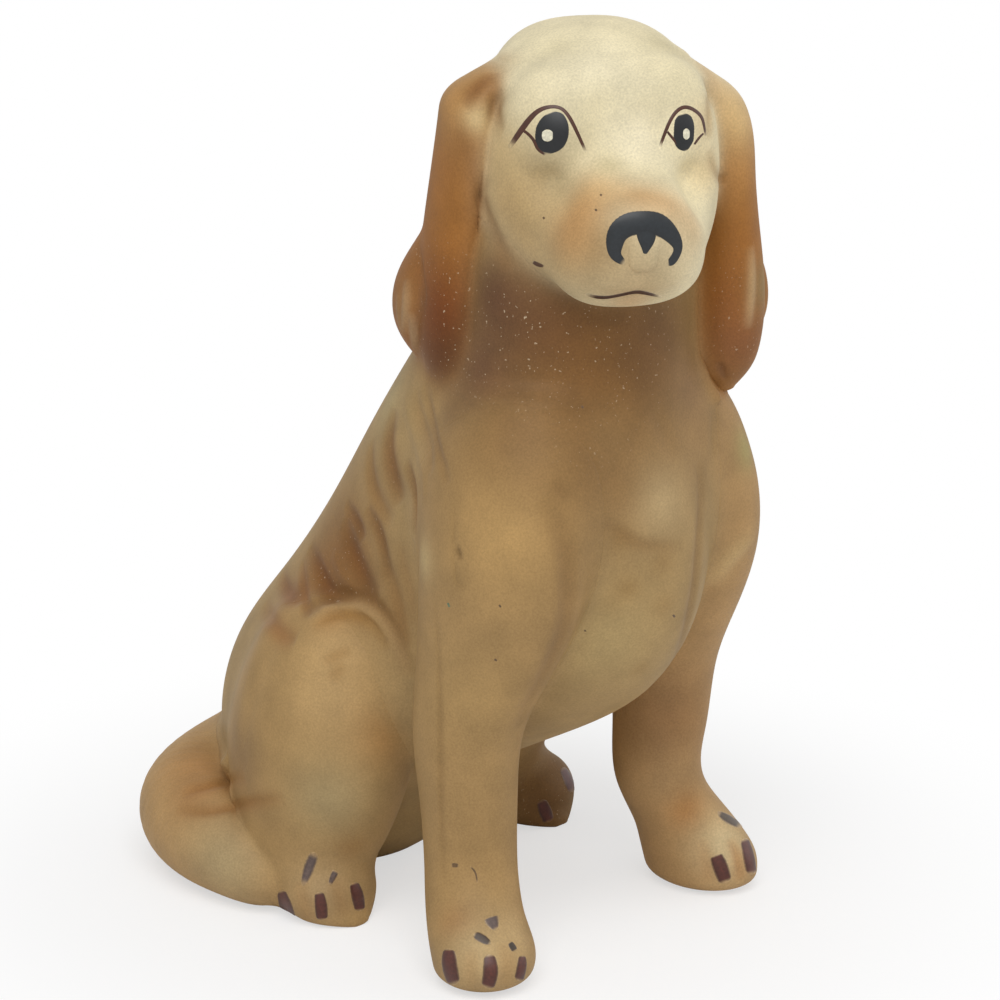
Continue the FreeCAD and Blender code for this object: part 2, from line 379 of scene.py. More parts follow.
@dataclass(frozen=True)
class TorsoForm:
    """Seat, belly, chest and neck."""

    height: float = 135.0
    half_width: float = 27.0
    depth: float = 102.0
    chest_front: float = 15.5
    vent_back: float = 62.0
    vent_radius: float = 2.5
    vent_depth: float = 4.0
    vent_edge: float = 0.4
    # Height, front, widest place and back along the depth, half width, lean to the left
    shares: tuple[tuple[float, ...], ...] = (
        (0.00, 0.67, 0.78, 0.89, 0.48, 0.00),
        (0.04, 0.60, 0.76, 0.96, 0.75, 0.00),
        (0.11, 0.54, 0.74, 0.995, 0.95, 0.00),
        (0.205, 0.38, 0.71, 1.01, 1.02, 0.00),
        (0.30, 0.16, 0.60, 0.985, 0.99, 0.00),
        (0.40, 0.04, 0.44, 0.885, 0.93, 0.00),
        (0.52, 0.00, 0.33, 0.76, 0.91, 0.00),
        (0.635, 0.02, 0.30, 0.655, 0.88, 0.00),
        (0.74, 0.06, 0.26, 0.56, 0.85, 0.03),
        (0.84, 0.08, 0.23, 0.47, 0.82, 0.06),
        (0.93, 0.10, 0.22, 0.41, 0.78, 0.07),
        (1.00, 0.15, 0.23, 0.36, 0.56, 0.05),
    )
    inner_line: tuple[Point, ...] = ((0, 62, 9), (0, 56, 30), (0, 34, 62), (1, 20, 92), (1.6, 10, 126))

    def spine(self) -> Spine:
        """The line up the body, from the seat to inside the skull."""
        return Spine(self.inner_line, 70.0, 0.22, 0.12, grid=(330, 300))

    def stack(self) -> Stack:
        """The ovals of the torso.

        Returns:
            The stack, from the seat to inside the skull.
        """
        rows = []
        for height, front, widest, back, width, lean in self.shares:
            middle = self.chest_front - widest * self.depth
            ahead, behind = (widest - front) * self.depth, (back - widest) * self.depth
            side = lean * self.half_width
            rows.append((height * self.height, side, middle, width * self.half_width, ahead, behind, 0.0))
        return Stack(tuple(rows))

    def field(self, p: Array) -> Array:
        """The torso's field: its ovals, less the round vent that the kiln's air leaves by.

        Args:
            p: points in the dog's frame.

        Returns:
            The field at each point.
        """
        q = dog_axes().local(p)
        body = self.stack().field(q[:, 0], q[:, 1], q[:, 2])
        from_vent = np.hypot(q[:, 0], q[:, 1] + self.vent_back) - self.vent_radius
        vent = np.maximum(from_vent, q[:, 2] - self.vent_depth)
        return carved(body, vent, self.vent_edge)


@dataclass(frozen=True)
class HeadForm:
    """Skull and muzzle, about the middle of the skull, nodded and turned on the neck."""

    out: float = 1.0
    behind: float = 5.0
    height: float = 145.0
    turn: float = 33.0
    nod: float = 10.0
    fullness: float = 2.6
    skull_back: float = 21.0
    length: float = 53.0
    half_width: float = 19.6
    rise: float = 13.2
    drop: float = 24.5
    # Way forward from the back of the skull, half width, top as a share of the rise, widest height
    # and bottom as shares of the drop
    shares: tuple[tuple[float, ...], ...] = (
        (0.02, 0.34, 0.45, 0.00, 0.26),
        (0.07, 0.58, 0.70, 0.04, 0.44),
        (0.18, 0.85, 0.94, 0.15, 0.66),
        (0.34, 0.98, 1.00, 0.34, 0.88),
        (0.48, 1.00, 0.88, 0.42, 0.98),
        (0.60, 0.93, 0.56, 0.46, 1.00),
        (0.70, 0.81, -0.02, 0.54, 1.00),
        (0.80, 0.69, -0.22, 0.60, 0.98),
        (0.90, 0.58, -0.34, 0.62, 0.95),
        (0.96, 0.45, -0.45, 0.60, 0.80),
        (0.99, 0.27, -0.62, 0.56, 0.70),
        (1.00, 0.12, -0.74, 0.53, 0.62),
    )
    nose_pad: Egg = Egg((0.0, 27.6, -9.6), (6.8, 4.4, 5.4), tip=14)
    chin: Egg = Egg((0.0, 19.0, -21.2), (6.4, 5.6, 3.8))
    eye_mound: Egg = Egg((10.6, 10.4, 0.6), (6.6, 4.6, 6.0), turn=36)
    brow: Egg = Egg((8.6, 7.6, 6.0), (6.5, 4.6, 4.2), turn=24)
    cheek_hollow: Egg = Egg((13.4, 22.0, -5.0), (3.6, 8.0, 4.2), turn=14)
    skull_end: Egg = Egg((0.0, -12.8, -0.4), (10.5, 8.2, 9.0))
    # How wide the clay runs together where each lump is laid on
    end_seam: float = 3.0
    hollow_seam: float = 5.0
    brow_seam: float = 4.0
    eye_seam: float = 3.0
    nose_seam: float = 2.0
    chin_seam: float = 2.5
    # Places in the head's own frame, from the back of the skull to the muzzle
    inner_line: tuple[Point, ...] = ((0, -8, -3), (0, 4, -7), (0, 22, -13))

    def spine(self) -> Spine:
        """The line from the back of the skull to inside the muzzle."""
        places = tuple(self.axes().place(q) for q in self.inner_line)
        return Spine(places, 45.0, 0.3, 0.3, (0, 0, 1.0), (320, 300))

    def level_axes(self) -> Axes:
        """The head's frame turned on the neck but not nodded: the ears hang plumb in it.

        Returns:
            The frame, about the middle of the skull.
        """
        angle = math.radians(self.turn)
        origin = np.array([self.out, self.behind, self.height])
        across = np.array([math.cos(angle), -math.sin(angle), 0.0])
        ahead = np.array([-math.sin(angle), -math.cos(angle), 0.0])
        return Axes(origin, across, ahead, np.array([0, 0, 1.0]))

    def axes(self) -> Axes:
        """The head's frame: the level one, nodded.

        Returns:
            The frame, with ahead along the muzzle.
        """
        level, nod = self.level_axes(), math.radians(self.nod)
        ahead = math.cos(nod) * level.ahead - math.sin(nod) * level.up
        up = math.cos(nod) * level.up + math.sin(nod) * level.ahead
        return Axes(level.origin, level.across, ahead, up)

    def stack(self) -> Stack:
        """The ovals of skull and muzzle.

        Returns:
            The stack, from back to nose.
        """
        rows = []
        for forward, width, top, widest, bottom in self.shares:
            level = -widest * self.drop
            rise, drop = top * self.rise - level, bottom * self.drop + level
            place = forward * self.length - self.skull_back
            rows.append((place, 0.0, level, width * self.half_width, rise, drop, 0.0))
        return Stack(tuple(rows), self.fullness)

    def field(self, p: Array) -> Array:
        """The head's field: its ovals, with the lumps laid on and the cheeks hollowed out.

        Args:
            p: points in the dog's frame.

        Returns:
            The field at each point.
        """
        q = self.axes().local(p)
        skull = self.stack().field(q[:, 0], q[:, 2], q[:, 1])
        skull = merged(skull, self.skull_end.field(q), self.end_seam)
        either = np.stack([np.abs(q[:, 0]), q[:, 1], q[:, 2]], axis=1)
        skull = carved(skull, self.cheek_hollow.field(either), self.hollow_seam)
        skull = merged(skull, self.brow.field(either), self.brow_seam)
        skull = merged(skull, self.eye_mound.field(either), self.eye_seam)
        skull = merged(skull, self.nose_pad.field(q), self.nose_seam)
        return merged(skull, self.chin.field(q), self.chin_seam)


# The right ear's flap: way down from the root, distance out, way back, half thickness, half width
# and turn
RIGHT_FLAP_SHARES = (
    (0.00, 0.54, 0.42, 0.34, 0.20, 0.0),
    (0.03, 0.69, 0.46, 0.74, 0.44, 0.0),
    (0.08, 0.85, 0.54, 1.00, 0.66, 0.0),
    (0.16, 0.91, 0.70, 1.02, 0.80, 0.1),
    (0.35, 0.97, 0.95, 0.90, 0.88, 0.2),
    (0.55, 1.03, 0.92, 0.94, 0.86, 0.3),
    (0.72, 1.07, 0.80, 0.96, 0.84, 0.3),
    (0.86, 1.06, 0.75, 0.94, 0.74, 0.3),
    (0.95, 1.02, 0.70, 0.72, 0.52, 0.3),
    (1.00, 0.99, 0.65, 0.38, 0.28, 0.3),
)


@dataclass(frozen=True)
class EarForm:
    """A hanging ear flap and the fold of hair behind it, about the middle of the skull."""

    side: float
    head: HeadForm = HeadForm()
    root_rise: float = 8.5
    length: float = 57.0
    out: float = 23.0
    back: float = 6.0
    half_thickness: float = 4.6
    half_width: float = 10.5
    turn: float = 20.0
    # Way down from the root, distance out, way back, half thickness, half width, turn
    shares: tuple[tuple[float, ...], ...] = (
        (0.00, 0.50, 0.42, 0.34, 0.20, 0.0),
        (0.03, 0.61, 0.46, 0.70, 0.42, 0.0),
        (0.08, 0.77, 0.54, 0.96, 0.62, 0.0),
        (0.16, 0.90, 0.70, 1.05, 0.78, 0.1),
        (0.35, 0.99, 0.95, 1.02, 0.88, 0.2),
        (0.55, 1.00, 0.92, 1.24, 0.86, 0.3),
        (0.72, 0.99, 0.80, 1.45, 0.84, 0.3),
        (0.86, 0.97, 0.75, 1.42, 0.74, 0.3),
        (0.95, 0.95, 0.70, 1.10, 0.52, 0.3),
        (1.00, 0.94, 0.65, 0.62, 0.28, 0.3),
    )
    # The lock of hair behind the flap, in the same shares
    lock_shares: tuple[tuple[float, ...], ...] = (
        (0.50, 1.08, 1.90, 0.30, 0.30, 0.0),
        (0.56, 1.11, 1.95, 0.58, 0.48, 0.0),
        (0.64, 1.17, 2.05, 0.82, 0.62, 0.0),
        (0.74, 1.21, 2.10, 0.92, 0.68, 0.0),
        (0.83, 1.19, 2.00, 0.84, 0.60, 0.0),
        (0.90, 1.13, 1.85, 0.58, 0.44, 0.0),
        (0.94, 1.10, 1.75, 0.30, 0.26, 0.0),
    )
    lock_seam: float = 1.2
    # Places in the ear's own frame, from the root to the tip
    inner_line: tuple[Point, ...] = ((17, -3, 4), (21.5, -5, -10), (23.5, -6, -30), (23.6, -5.6, -43))

    def spine(self) -> Spine:
        """The line down the middle of the flap."""
        return Spine(tuple(self.axes().place(q) for q in self.inner_line), 30.0)

    def axes(self) -> Axes:
        """The ear's frame: across is outwards on its own side."""
        level = self.head.level_axes()
        return Axes(level.origin, self.side * level.across, level.ahead, level.up)

    def stack(self, shares: tuple[tuple[float, ...], ...]) -> Stack:
        """The ovals of the flap or of the lock.

        Args:
            shares: the rows of either.

        Returns:
            The stack, from the tip to the root.
        """
        rows = []
        for down, out, back, thick, width, turn in reversed(shares):
            reach = width * self.half_width
            place = self.root_rise - down * self.length
            side, middle = out * self.out, -back * self.back
            rows.append((place, side, middle, thick * self.half_thickness, reach, reach, -turn * self.turn))
        return Stack(tuple(rows))

    def field(self, p: Array) -> Array:
        """The ear's field: flap and lock together.

        Args:
            p: points in the dog's frame.

        Returns:
            The field at each point.
        """
        q = self.axes().local(p)
        flap = self.stack(self.shares).field(q[:, 0], q[:, 1], q[:, 2])
        lock = self.stack(self.lock_shares).field(q[:, 0], q[:, 1], q[:, 2])
        return merged(flap, lock, self.lock_seam)


# A paw's ovals from the sole up: height, distance out, way back as a share of the half depth, half
# width, half depth and turn
RIGHT_PAW_SHARES = (
    (0.000, 0.96, 0.14, 0.42, 0.32, 1.0),
    (0.012, 0.96, 0.14, 0.60, 0.48, 1.0),
    (0.035, 0.96, 0.13, 0.72, 0.60, 1.0),
    (0.070, 0.96, 0.16, 0.74, 0.62, 1.0),
    (0.108, 0.92, 0.32, 0.70, 0.58, 1.0),
    (0.145, 0.86, 0.48, 0.67, 0.53, 0.6),
)
LEFT_PAW_SHARES = (
    (0.000, 0.97, 0.28, 0.42, 0.42, 1.0),
    (0.012, 0.97, 0.28, 0.60, 0.59, 1.0),
    (0.035, 0.97, 0.29, 0.70, 0.69, 1.0),
    (0.070, 0.96, 0.33, 0.71, 0.70, 1.0),
    (0.108, 0.93, 0.42, 0.69, 0.64, 1.0),
    (0.145, 0.88, 0.52, 0.67, 0.58, 1.0),
)


@dataclass(frozen=True)
class ForelegForm:
    """Shoulder, leg and paw of one side."""

    side: float
    paw_shares: tuple[tuple[float, ...], ...]
    paw_turn: float
    height: float = 97.0
    out: float = 30.5
    half_width: float = 12.0
    half_depth: float = 16.0
    # The leg's ovals above the paw, in the same shares
    shares: tuple[tuple[float, ...], ...] = (
        (0.200, 0.80, 0.62, 0.65, 0.51, 0.0),
        (0.310, 0.80, 0.65, 0.69, 0.53, 0.0),
        (0.440, 0.81, 0.62, 0.78, 0.60, 0.0),
        (0.560, 0.765, 0.46, 0.85, 0.80, 0.0),
        (0.690, 0.72, 0.31, 0.97, 0.98, 0.0),
        (0.810, 0.69, 0.28, 0.98, 0.99, 0.0),
        (0.910, 0.65, 0.28, 0.88, 0.82, 0.0),
        (0.975, 0.61, 0.28, 0.66, 0.58, 0.0),
        (1.020, 0.57, 0.28, 0.36, 0.32, 0.0),
    )
    # Distance out, way back and height, from the paw to the shoulder
    inner_line: tuple[Point, ...] = (
        (29.4, 2.6, 5.5), (25, 9, 17), (24.6, 9.5, 42), (21.5, 5, 68), (20.5, 4.6, 84)
    )

    def spine(self) -> Spine:
        """The line up the leg."""
        return Spine(tuple((self.side * out, back, up) for out, back, up in self.inner_line), 40.0, 0.25)

    def stack(self) -> Stack:
        """The ovals of the leg.

        Returns:
            The stack, from the sole to inside the shoulder.
        """
        rows = []
        for height, out, back, width, depth, turn in (*self.paw_shares, *self.shares):
            reach, place = depth * self.half_depth, height * self.height
            side, middle = out * self.out, -back * self.half_depth
            rows.append((place, side, middle, width * self.half_width, reach, reach, turn * self.paw_turn))
        return Stack(tuple(rows))

    def field(self, p: Array) -> Array:
        """The foreleg's field in the dog's frame."""
        q = dog_axes(self.side).local(p)
        return self.stack().field(q[:, 0], q[:, 1], q[:, 2])


@dataclass(frozen=True)
class HaunchForm:
    """Thigh and hind foot of one side."""

    side: float
    thigh_set_back: float = 0.0
    foot_set_back: float = 0.0
    foot_set_out: float = 0.0
    line_set_back: float = 0.0
    height: float = 55.5
    out: float = 24.5
    back: float = 46.0
    half_width: float = 13.0
    half_depth: float = 17.5
    # Height, distance out, way back as a share of the half depth, half width, half depth
    thigh_shares: tuple[tuple[float, ...], ...] = (
        (0.05, 1.06, 0.34, 0.46, 0.46),
        (0.13, 1.05, 0.24, 0.72, 0.68),
        (0.28, 1.02, 0.12, 0.92, 0.88),
        (0.46, 1.00, 0.03, 1.00, 1.00),
        (0.66, 0.98, -0.04, 0.97, 0.96),
        (0.84, 0.95, -0.08, 0.80, 0.78),
        (0.95, 0.93, -0.10, 0.52, 0.52),
        (1.00, 0.92, -0.10, 0.26, 0.26),
    )
    foot_out: float = 27.8
    foot_heel: float = 65.0
    foot_length: float = 31.0
    foot_half_width: float = 8.6
    foot_height: float = 13.5
    ground_off: float = 1.2
    # Way forward from the heel, half width, height
    foot_shares: tuple[tuple[float, ...], ...] = (
        (0.00, 0.22, 0.36),
        (0.04, 0.50, 0.62),
        (0.14, 0.72, 0.85),
        (0.40, 0.84, 0.92),
        (0.66, 0.98, 1.00),
        (0.80, 0.97, 0.96),
        (0.90, 0.76, 0.76),
        (0.97, 0.46, 0.46),
        (1.00, 0.26, 0.26),
    )
    toe_radii: Point = (8.2, 6.9, 6.5)
    toe_seam: float = 2.0
    hock_seam: float = 4.0
    # Distance out, way back and height, from the foot to the top of the thigh
    inner_line: tuple[Point, ...] = ((26, 48, 12), (24.5, 46, 28), (23.6, 45, 42))

    def spine(self) -> Spine:
        """The line up the thigh."""
        places = tuple((self.side * out, back + self.line_set_back, up) for out, back, up in self.inner_line)
        return Spine(places, 45.0, 0.3, 0.25)

    def thigh(self) -> Stack:
        """The ovals of the thigh.

        Returns:
            The stack, from the table up.
        """
        rows = []
        for height, out, back, width, depth in self.thigh_shares:
            reach = depth * self.half_depth
            middle = -self.back - back * self.half_depth - self.thigh_set_back
            side = out * self.out
            rows.append((height * self.height, side, middle, width * self.half_width, reach, reach, 0.0))
        return Stack(tuple(rows))

    def foot(self) -> Stack:
        """The ovals of the foot.

        Returns:
            The stack, from the heel to the toes.
        """
        rows, side = [], self.foot_out + self.foot_set_out
        for forward, width, height in self.foot_shares:
            half = height * self.foot_height / 2
            place = forward * self.foot_length - self.foot_heel - self.foot_set_back
            middle = half - self.ground_off
            rows.append((place, side, middle, width * self.foot_half_width, half, half, 0.0))
        return Stack(tuple(rows))

    def toes(self) -> Egg:
        """The round front of the foot.

        Returns:
            The lump, as far forward as the foot's last oval.
        """
        reach = self.toe_radii[1]
        ahead = self.foot_length - self.foot_heel - self.foot_set_back - reach
        height = self.foot_height / 2 - self.ground_off
        return Egg((self.foot_out + self.foot_set_out, ahead, height), self.toe_radii)

    def field(self, p: Array) -> Array:
        """The haunch's field: thigh, foot and toes together.

        Args:
            p: points in the dog's frame.

        Returns:
            The field at each point.
        """
        q = dog_axes(self.side).local(p)
        thigh = self.thigh().field(q[:, 0], q[:, 1], q[:, 2])
        foot = self.foot().field(q[:, 0], q[:, 2], q[:, 1])
        return merged(thigh, merged(foot, self.toes().field(q), self.toe_seam), self.hock_seam)


@dataclass(frozen=True)
class TailForm:
    """The tail, from the rump round the right haunch."""

    radius: float = 12.0
    back: float = 93.5
    out: float = 37.5
    # Distance out to the right, way back, height of its middle as a share of the radius, radius
    shares: tuple[tuple[float, ...], ...] = (
        (-0.12, 0.83, 1.70, 0.68),
        (0.02, 0.87, 1.25, 0.86),
        (0.30, 0.89, 0.93, 0.95),
        (0.66, 0.85, 0.85, 0.89),
        (0.84, 0.75, 0.78, 0.80),
        (0.89, 0.65, 0.70, 0.70),
        (0.89, 0.57, 0.58, 0.56),
        (0.88, 0.53, 0.50, 0.34),
    )
    inner_line: tuple[Point, ...] = (
        (-1, 80, 15), (-12, 82, 11.5), (-24, 78.5, 11), (-31.5, 69, 10), (-33.8, 58, 8)
    )

    def spine(self) -> Spine:
        """The line along the tail, from the rump to the tip."""
        return Spine(self.inner_line, 30.0)

    def rope(self) -> Rope:
        """The tail as a rope.

        Returns:
            Its line and radii, from the rump to the tip.
        """
        return Rope(
            tuple(
                (-out * self.out, -back * self.back, height * self.radius, radius * self.radius)
                for out, back, height, radius in self.shares
            )
        )

    def field(self, p: Array) -> Array:
        """The tail's field in the dog's frame."""
        return self.rope().field(dog_axes().local(p))


@dataclass(frozen=True)
class Lute:
    """The slip that joins two castings: its fillet low down and high up, and where it changes.

    Towards the dog's back it may be wider by a further reach.
    """

    first: Casting
    second: Casting
    low_reach: float
    high_reach: float
    low_level: float = 0.0
    high_level: float = 1.0
    back_reach: float = 0.0
    back_from: float = 46.0
    back_to: float = 58.0

    def reach(self, p: Array) -> Array:
        """The fillet's reach, by the height of a point and how far back it lies.

        Args:
            p: points in the dog's frame.

        Returns:
            A reach for each point, in mm.
        """
        share = ease(p[:, 2], self.low_level, self.high_level)
        behind = ease(p[:, 1], self.back_from, self.back_to)
        return self.low_reach + (self.high_reach - self.low_reach) * share + self.back_reach * behind


def along_line(line: Array, p: Array) -> tuple[Array, Array]:
    """Measures points against a line.

    Args:
        line: the line's corners.
        p: points in the same frame.

    Returns:
        The gap from each point to the line, and the share of the line before its nearest place.
    """
    best, place = np.full(len(p), FAR), np.zeros(len(p))
    count = len(line) - 1
    for i, (start, end) in enumerate(zip(line[:-1], line[1:])):
        run = end - start
        share = np.clip((p - start) @ run / (run @ run + 1e-9), 0, 1)
        gap = np.linalg.norm(p - start - share[:, None] * run, axis=1)
        place = np.where(gap < best, (i + share) / count, place)
        best = np.minimum(best, gap)
    return best, place


@dataclass(frozen=True)
class Groove:
    """A groove pressed in the clay along a line, or a ridge where its depth is negative.

    Airbrushed colour may lie along it too.
    """

    line: Array
    depth: float
    width: float
    colour: str | None = None
    strength: float = 0.0
    spread: float = 1.5
    fade: float = 0.6

    def share(self, p: Array, width: float) -> Array:
        """exp(-(gap/width)^2), fading out over the line's first and last stretch.

        Args:
            p: points in the dog's frame.
            width: how wide it is, in mm.

        Returns:
            A share for each point.
        """
        near = 3 * width
        held = np.all((p > self.line.min(0) - near) & (p < self.line.max(0) + near), axis=1)
        out = np.zeros(len(p))
        if held.any():
            gap, place = along_line(self.line, p[held])
            still_on = np.sin(np.pi * np.clip(place, 0, 1)) ** self.fade
            out[held] = np.exp(-((gap / width) ** 2)) * still_on
        return out

    def relief(self, p: Array) -> Array:
        """How far the clay is drawn in at each point."""
        return self.depth * self.share(p, self.width)

    def laid(self, base: Array, p: Array) -> Array:
        """Mixes the groove's colour into the colour so far, most along its line.

        Args:
            base: the colour so far, a row for each point.
            p: points in the dog's frame.

        Returns:
            The new colour.
        """
        if self.colour is None:
            return base
        share = self.strength * self.share(p, self.width * self.spread)[:, None]
        return base * (1 - share) + np.array(linear(self.colour)) * share


@dataclass(frozen=True)
class Picture:
    """The camera of the photograph, and its rays for places in a picture 1000 pixels wide."""

    azimuth: float = -46.0
    elevation: float = 17.0
    distance: float = 620.0
    focal_pixels: float = 3690.0
    side_pixels: float = 1000.0
    target: Point = (-15.0, 12.0, 80.0)
    # Rays begin at this share of the distance, and move on by a share of the field in strides of mm
    first_share: float = 0.8
    stride_share: float = 0.5
    strides: tuple[float, float] = (0.3, 12.0)

    def back(self) -> Array:
        """The direction from the target to the camera."""
        a, e = math.radians(self.azimuth), math.radians(self.elevation)
        return np.array([math.sin(a) * math.cos(e), -math.cos(a) * math.cos(e), math.sin(e)])

    def position(self) -> Array:
        """Where the camera stands in the dog's frame."""
        return np.array(self.target) + self.distance * self.back()

    def rays(self, spots: Array) -> Array:
        """Directions from the camera through places in the picture.

        Args:
            spots: places in pixels, a row for each.

        Returns:
            A unit direction for each place.
        """
        a = math.radians(self.azimuth)
        right = np.array([math.cos(a), math.sin(a), 0.0])
        up = np.cross(right, -self.back())
        middle = self.side_pixels / 2
        x = (spots[:, :1] - middle) / self.focal_pixels
        y = (middle - spots[:, 1:2]) / self.focal_pixels
        return unit(-self.back() + x * right + y * up)

    def seen(self, spots: Array, field: Field, steps: int = 70) -> Array:
        """The points of the surface that the picture shows at those places.

        A ray moves on by a share of the field's value until it stands inside the clay, and the place
        where it went in is found by halving. A ray that passes by is taken where it comes nearest,
        and then down the field's slope to the surface.

        Args:
            spots: places in pixels, a row for each.
            field: the clay's field.
            steps: how many times a ray moves on at most.

        Returns:
            A point in the dog's frame for each place.
        """
        rays = self.rays(np.asarray(spots, float))
        before = np.full(len(rays), self.distance * self.first_share)
        travel = before.copy()
        nearest, best = np.full(len(rays), FAR), travel.copy()
        going = np.arange(len(rays))
        for _ in range(steps):
            here = field(self.position() + travel[going, None] * rays[going])
            closer = here < nearest[going]
            nearest[going[closer]] = here[closer]
            best[going[closer]] = travel[going[closer]]
            going, here = going[here > 0], here[here > 0]
            before[going] = travel[going]
            travel[going] += np.clip(self.stride_share * here, *self.strides)
        for _ in range(HALVINGS):
            middle = (before + travel) / 2
            inside = field(self.position() + middle[:, None] * rays) < 0
            before, travel = np.where(inside, before, middle), np.where(inside, middle, travel)
        missed = nearest > 0
        points = self.position() + np.where(missed, best, travel)[:, None] * rays
        for _ in range(SETTLINGS if missed.any() else 0):
            slope = gradient(field, points[missed])
            points[missed] -= np.clip(field(points[missed]), -1, 1)[:, None] * slope
        return points


def between(fine: int, coarse: int, closed: bool) -> Array:
    """Weights that turn values at coarse places into values at fine ones, along straight lines.

    Args:
        fine: how many places are wanted.
        coarse: how many are known.
        closed: True where the places run round a ring.

    Returns:
        A fine by coarse matrix.
    """
    span = coarse if closed else coarse - 1
    place = np.arange(fine) * span / (fine if closed else fine - 1)
    low = np.minimum(place.astype(int), span - 1)
    share = place - low
    weights = np.zeros((fine, coarse))
    rows = np.arange(fine)
    np.add.at(weights, (rows, low), 1 - share)
    np.add.at(weights, (rows, (low + 1) % coarse), share)
    return weights


def crossing(field: Field, starts: Array, ways: Array, reach: float, steps: int = 43) -> Array:
    """How far rays go before the field first turns positive, by even steps and then halving.

    Args:
        field: the field.
        starts: where the rays start, inside the clay.
        ways: their directions.
        reach: how far they are followed.
        steps: how many even steps that takes.

    Returns:
        A distance for each ray, in the shape of the directions.
    """
    shape = ways.shape[:-1]
    starts, ways = starts.reshape(-1, 3), ways.reshape(-1, 3)
    stops = np.linspace(0, reach, steps + 1)
    found = np.full(len(ways), reach)
    open_rays = np.ones(len(ways), bool)
    for stop in stops[1:]:
        outside = open_rays & (field(starts + stop * ways) > 0)
        found[outside] = stop
        open_rays &= ~outside
    low, high = found - stops[1], found.copy()
    for _ in range(HALVINGS):
        middle = (low + high) / 2
        inside = field(starts + middle[:, None] * ways) < 0
        low, high = np.where(inside, middle, low), np.where(inside, high, middle)
    return ((low + high) / 2).reshape(shape)


def settle(field: Field, starts: Array, ways: Array, travel: Array, turns: int = 4) -> Array:
    """Draws points along their rays on to the surface, each time by the field over its slope.

    Args:
        field: the field whose zero is the surface.
        starts: where the rays start.
        ways: their directions.
        travel: how far along them the points lie.
        turns: how many times they are drawn.

    Returns:
        The points, a row for each.
    """
    nudge, least_slope, stride, least_travel = 0.02, 0.25, 1.2, 0.05
    travel = travel.reshape(-1)
    starts, ways = starts.reshape(-1, 3), ways.reshape(-1, 3)
    for _ in range(turns):
        here = field(starts + travel[:, None] * ways)
        there = field(starts + (travel + nudge)[:, None] * ways)
        slope = np.maximum((there - here) / nudge, least_slope)
        travel = np.maximum(travel - np.clip(here / slope, -stride, stride), least_travel)
    return starts + travel[:, None] * ways


def gradient(field: Field, p: Array, nudge: float = 0.05) -> Array:
    """The way out of the clay at each point, from the field's differences along x, y and z."""
    steps = nudge * np.eye(3)
    return unit(np.stack([field(p + step) - field(p - step) for step in steps], axis=-1))


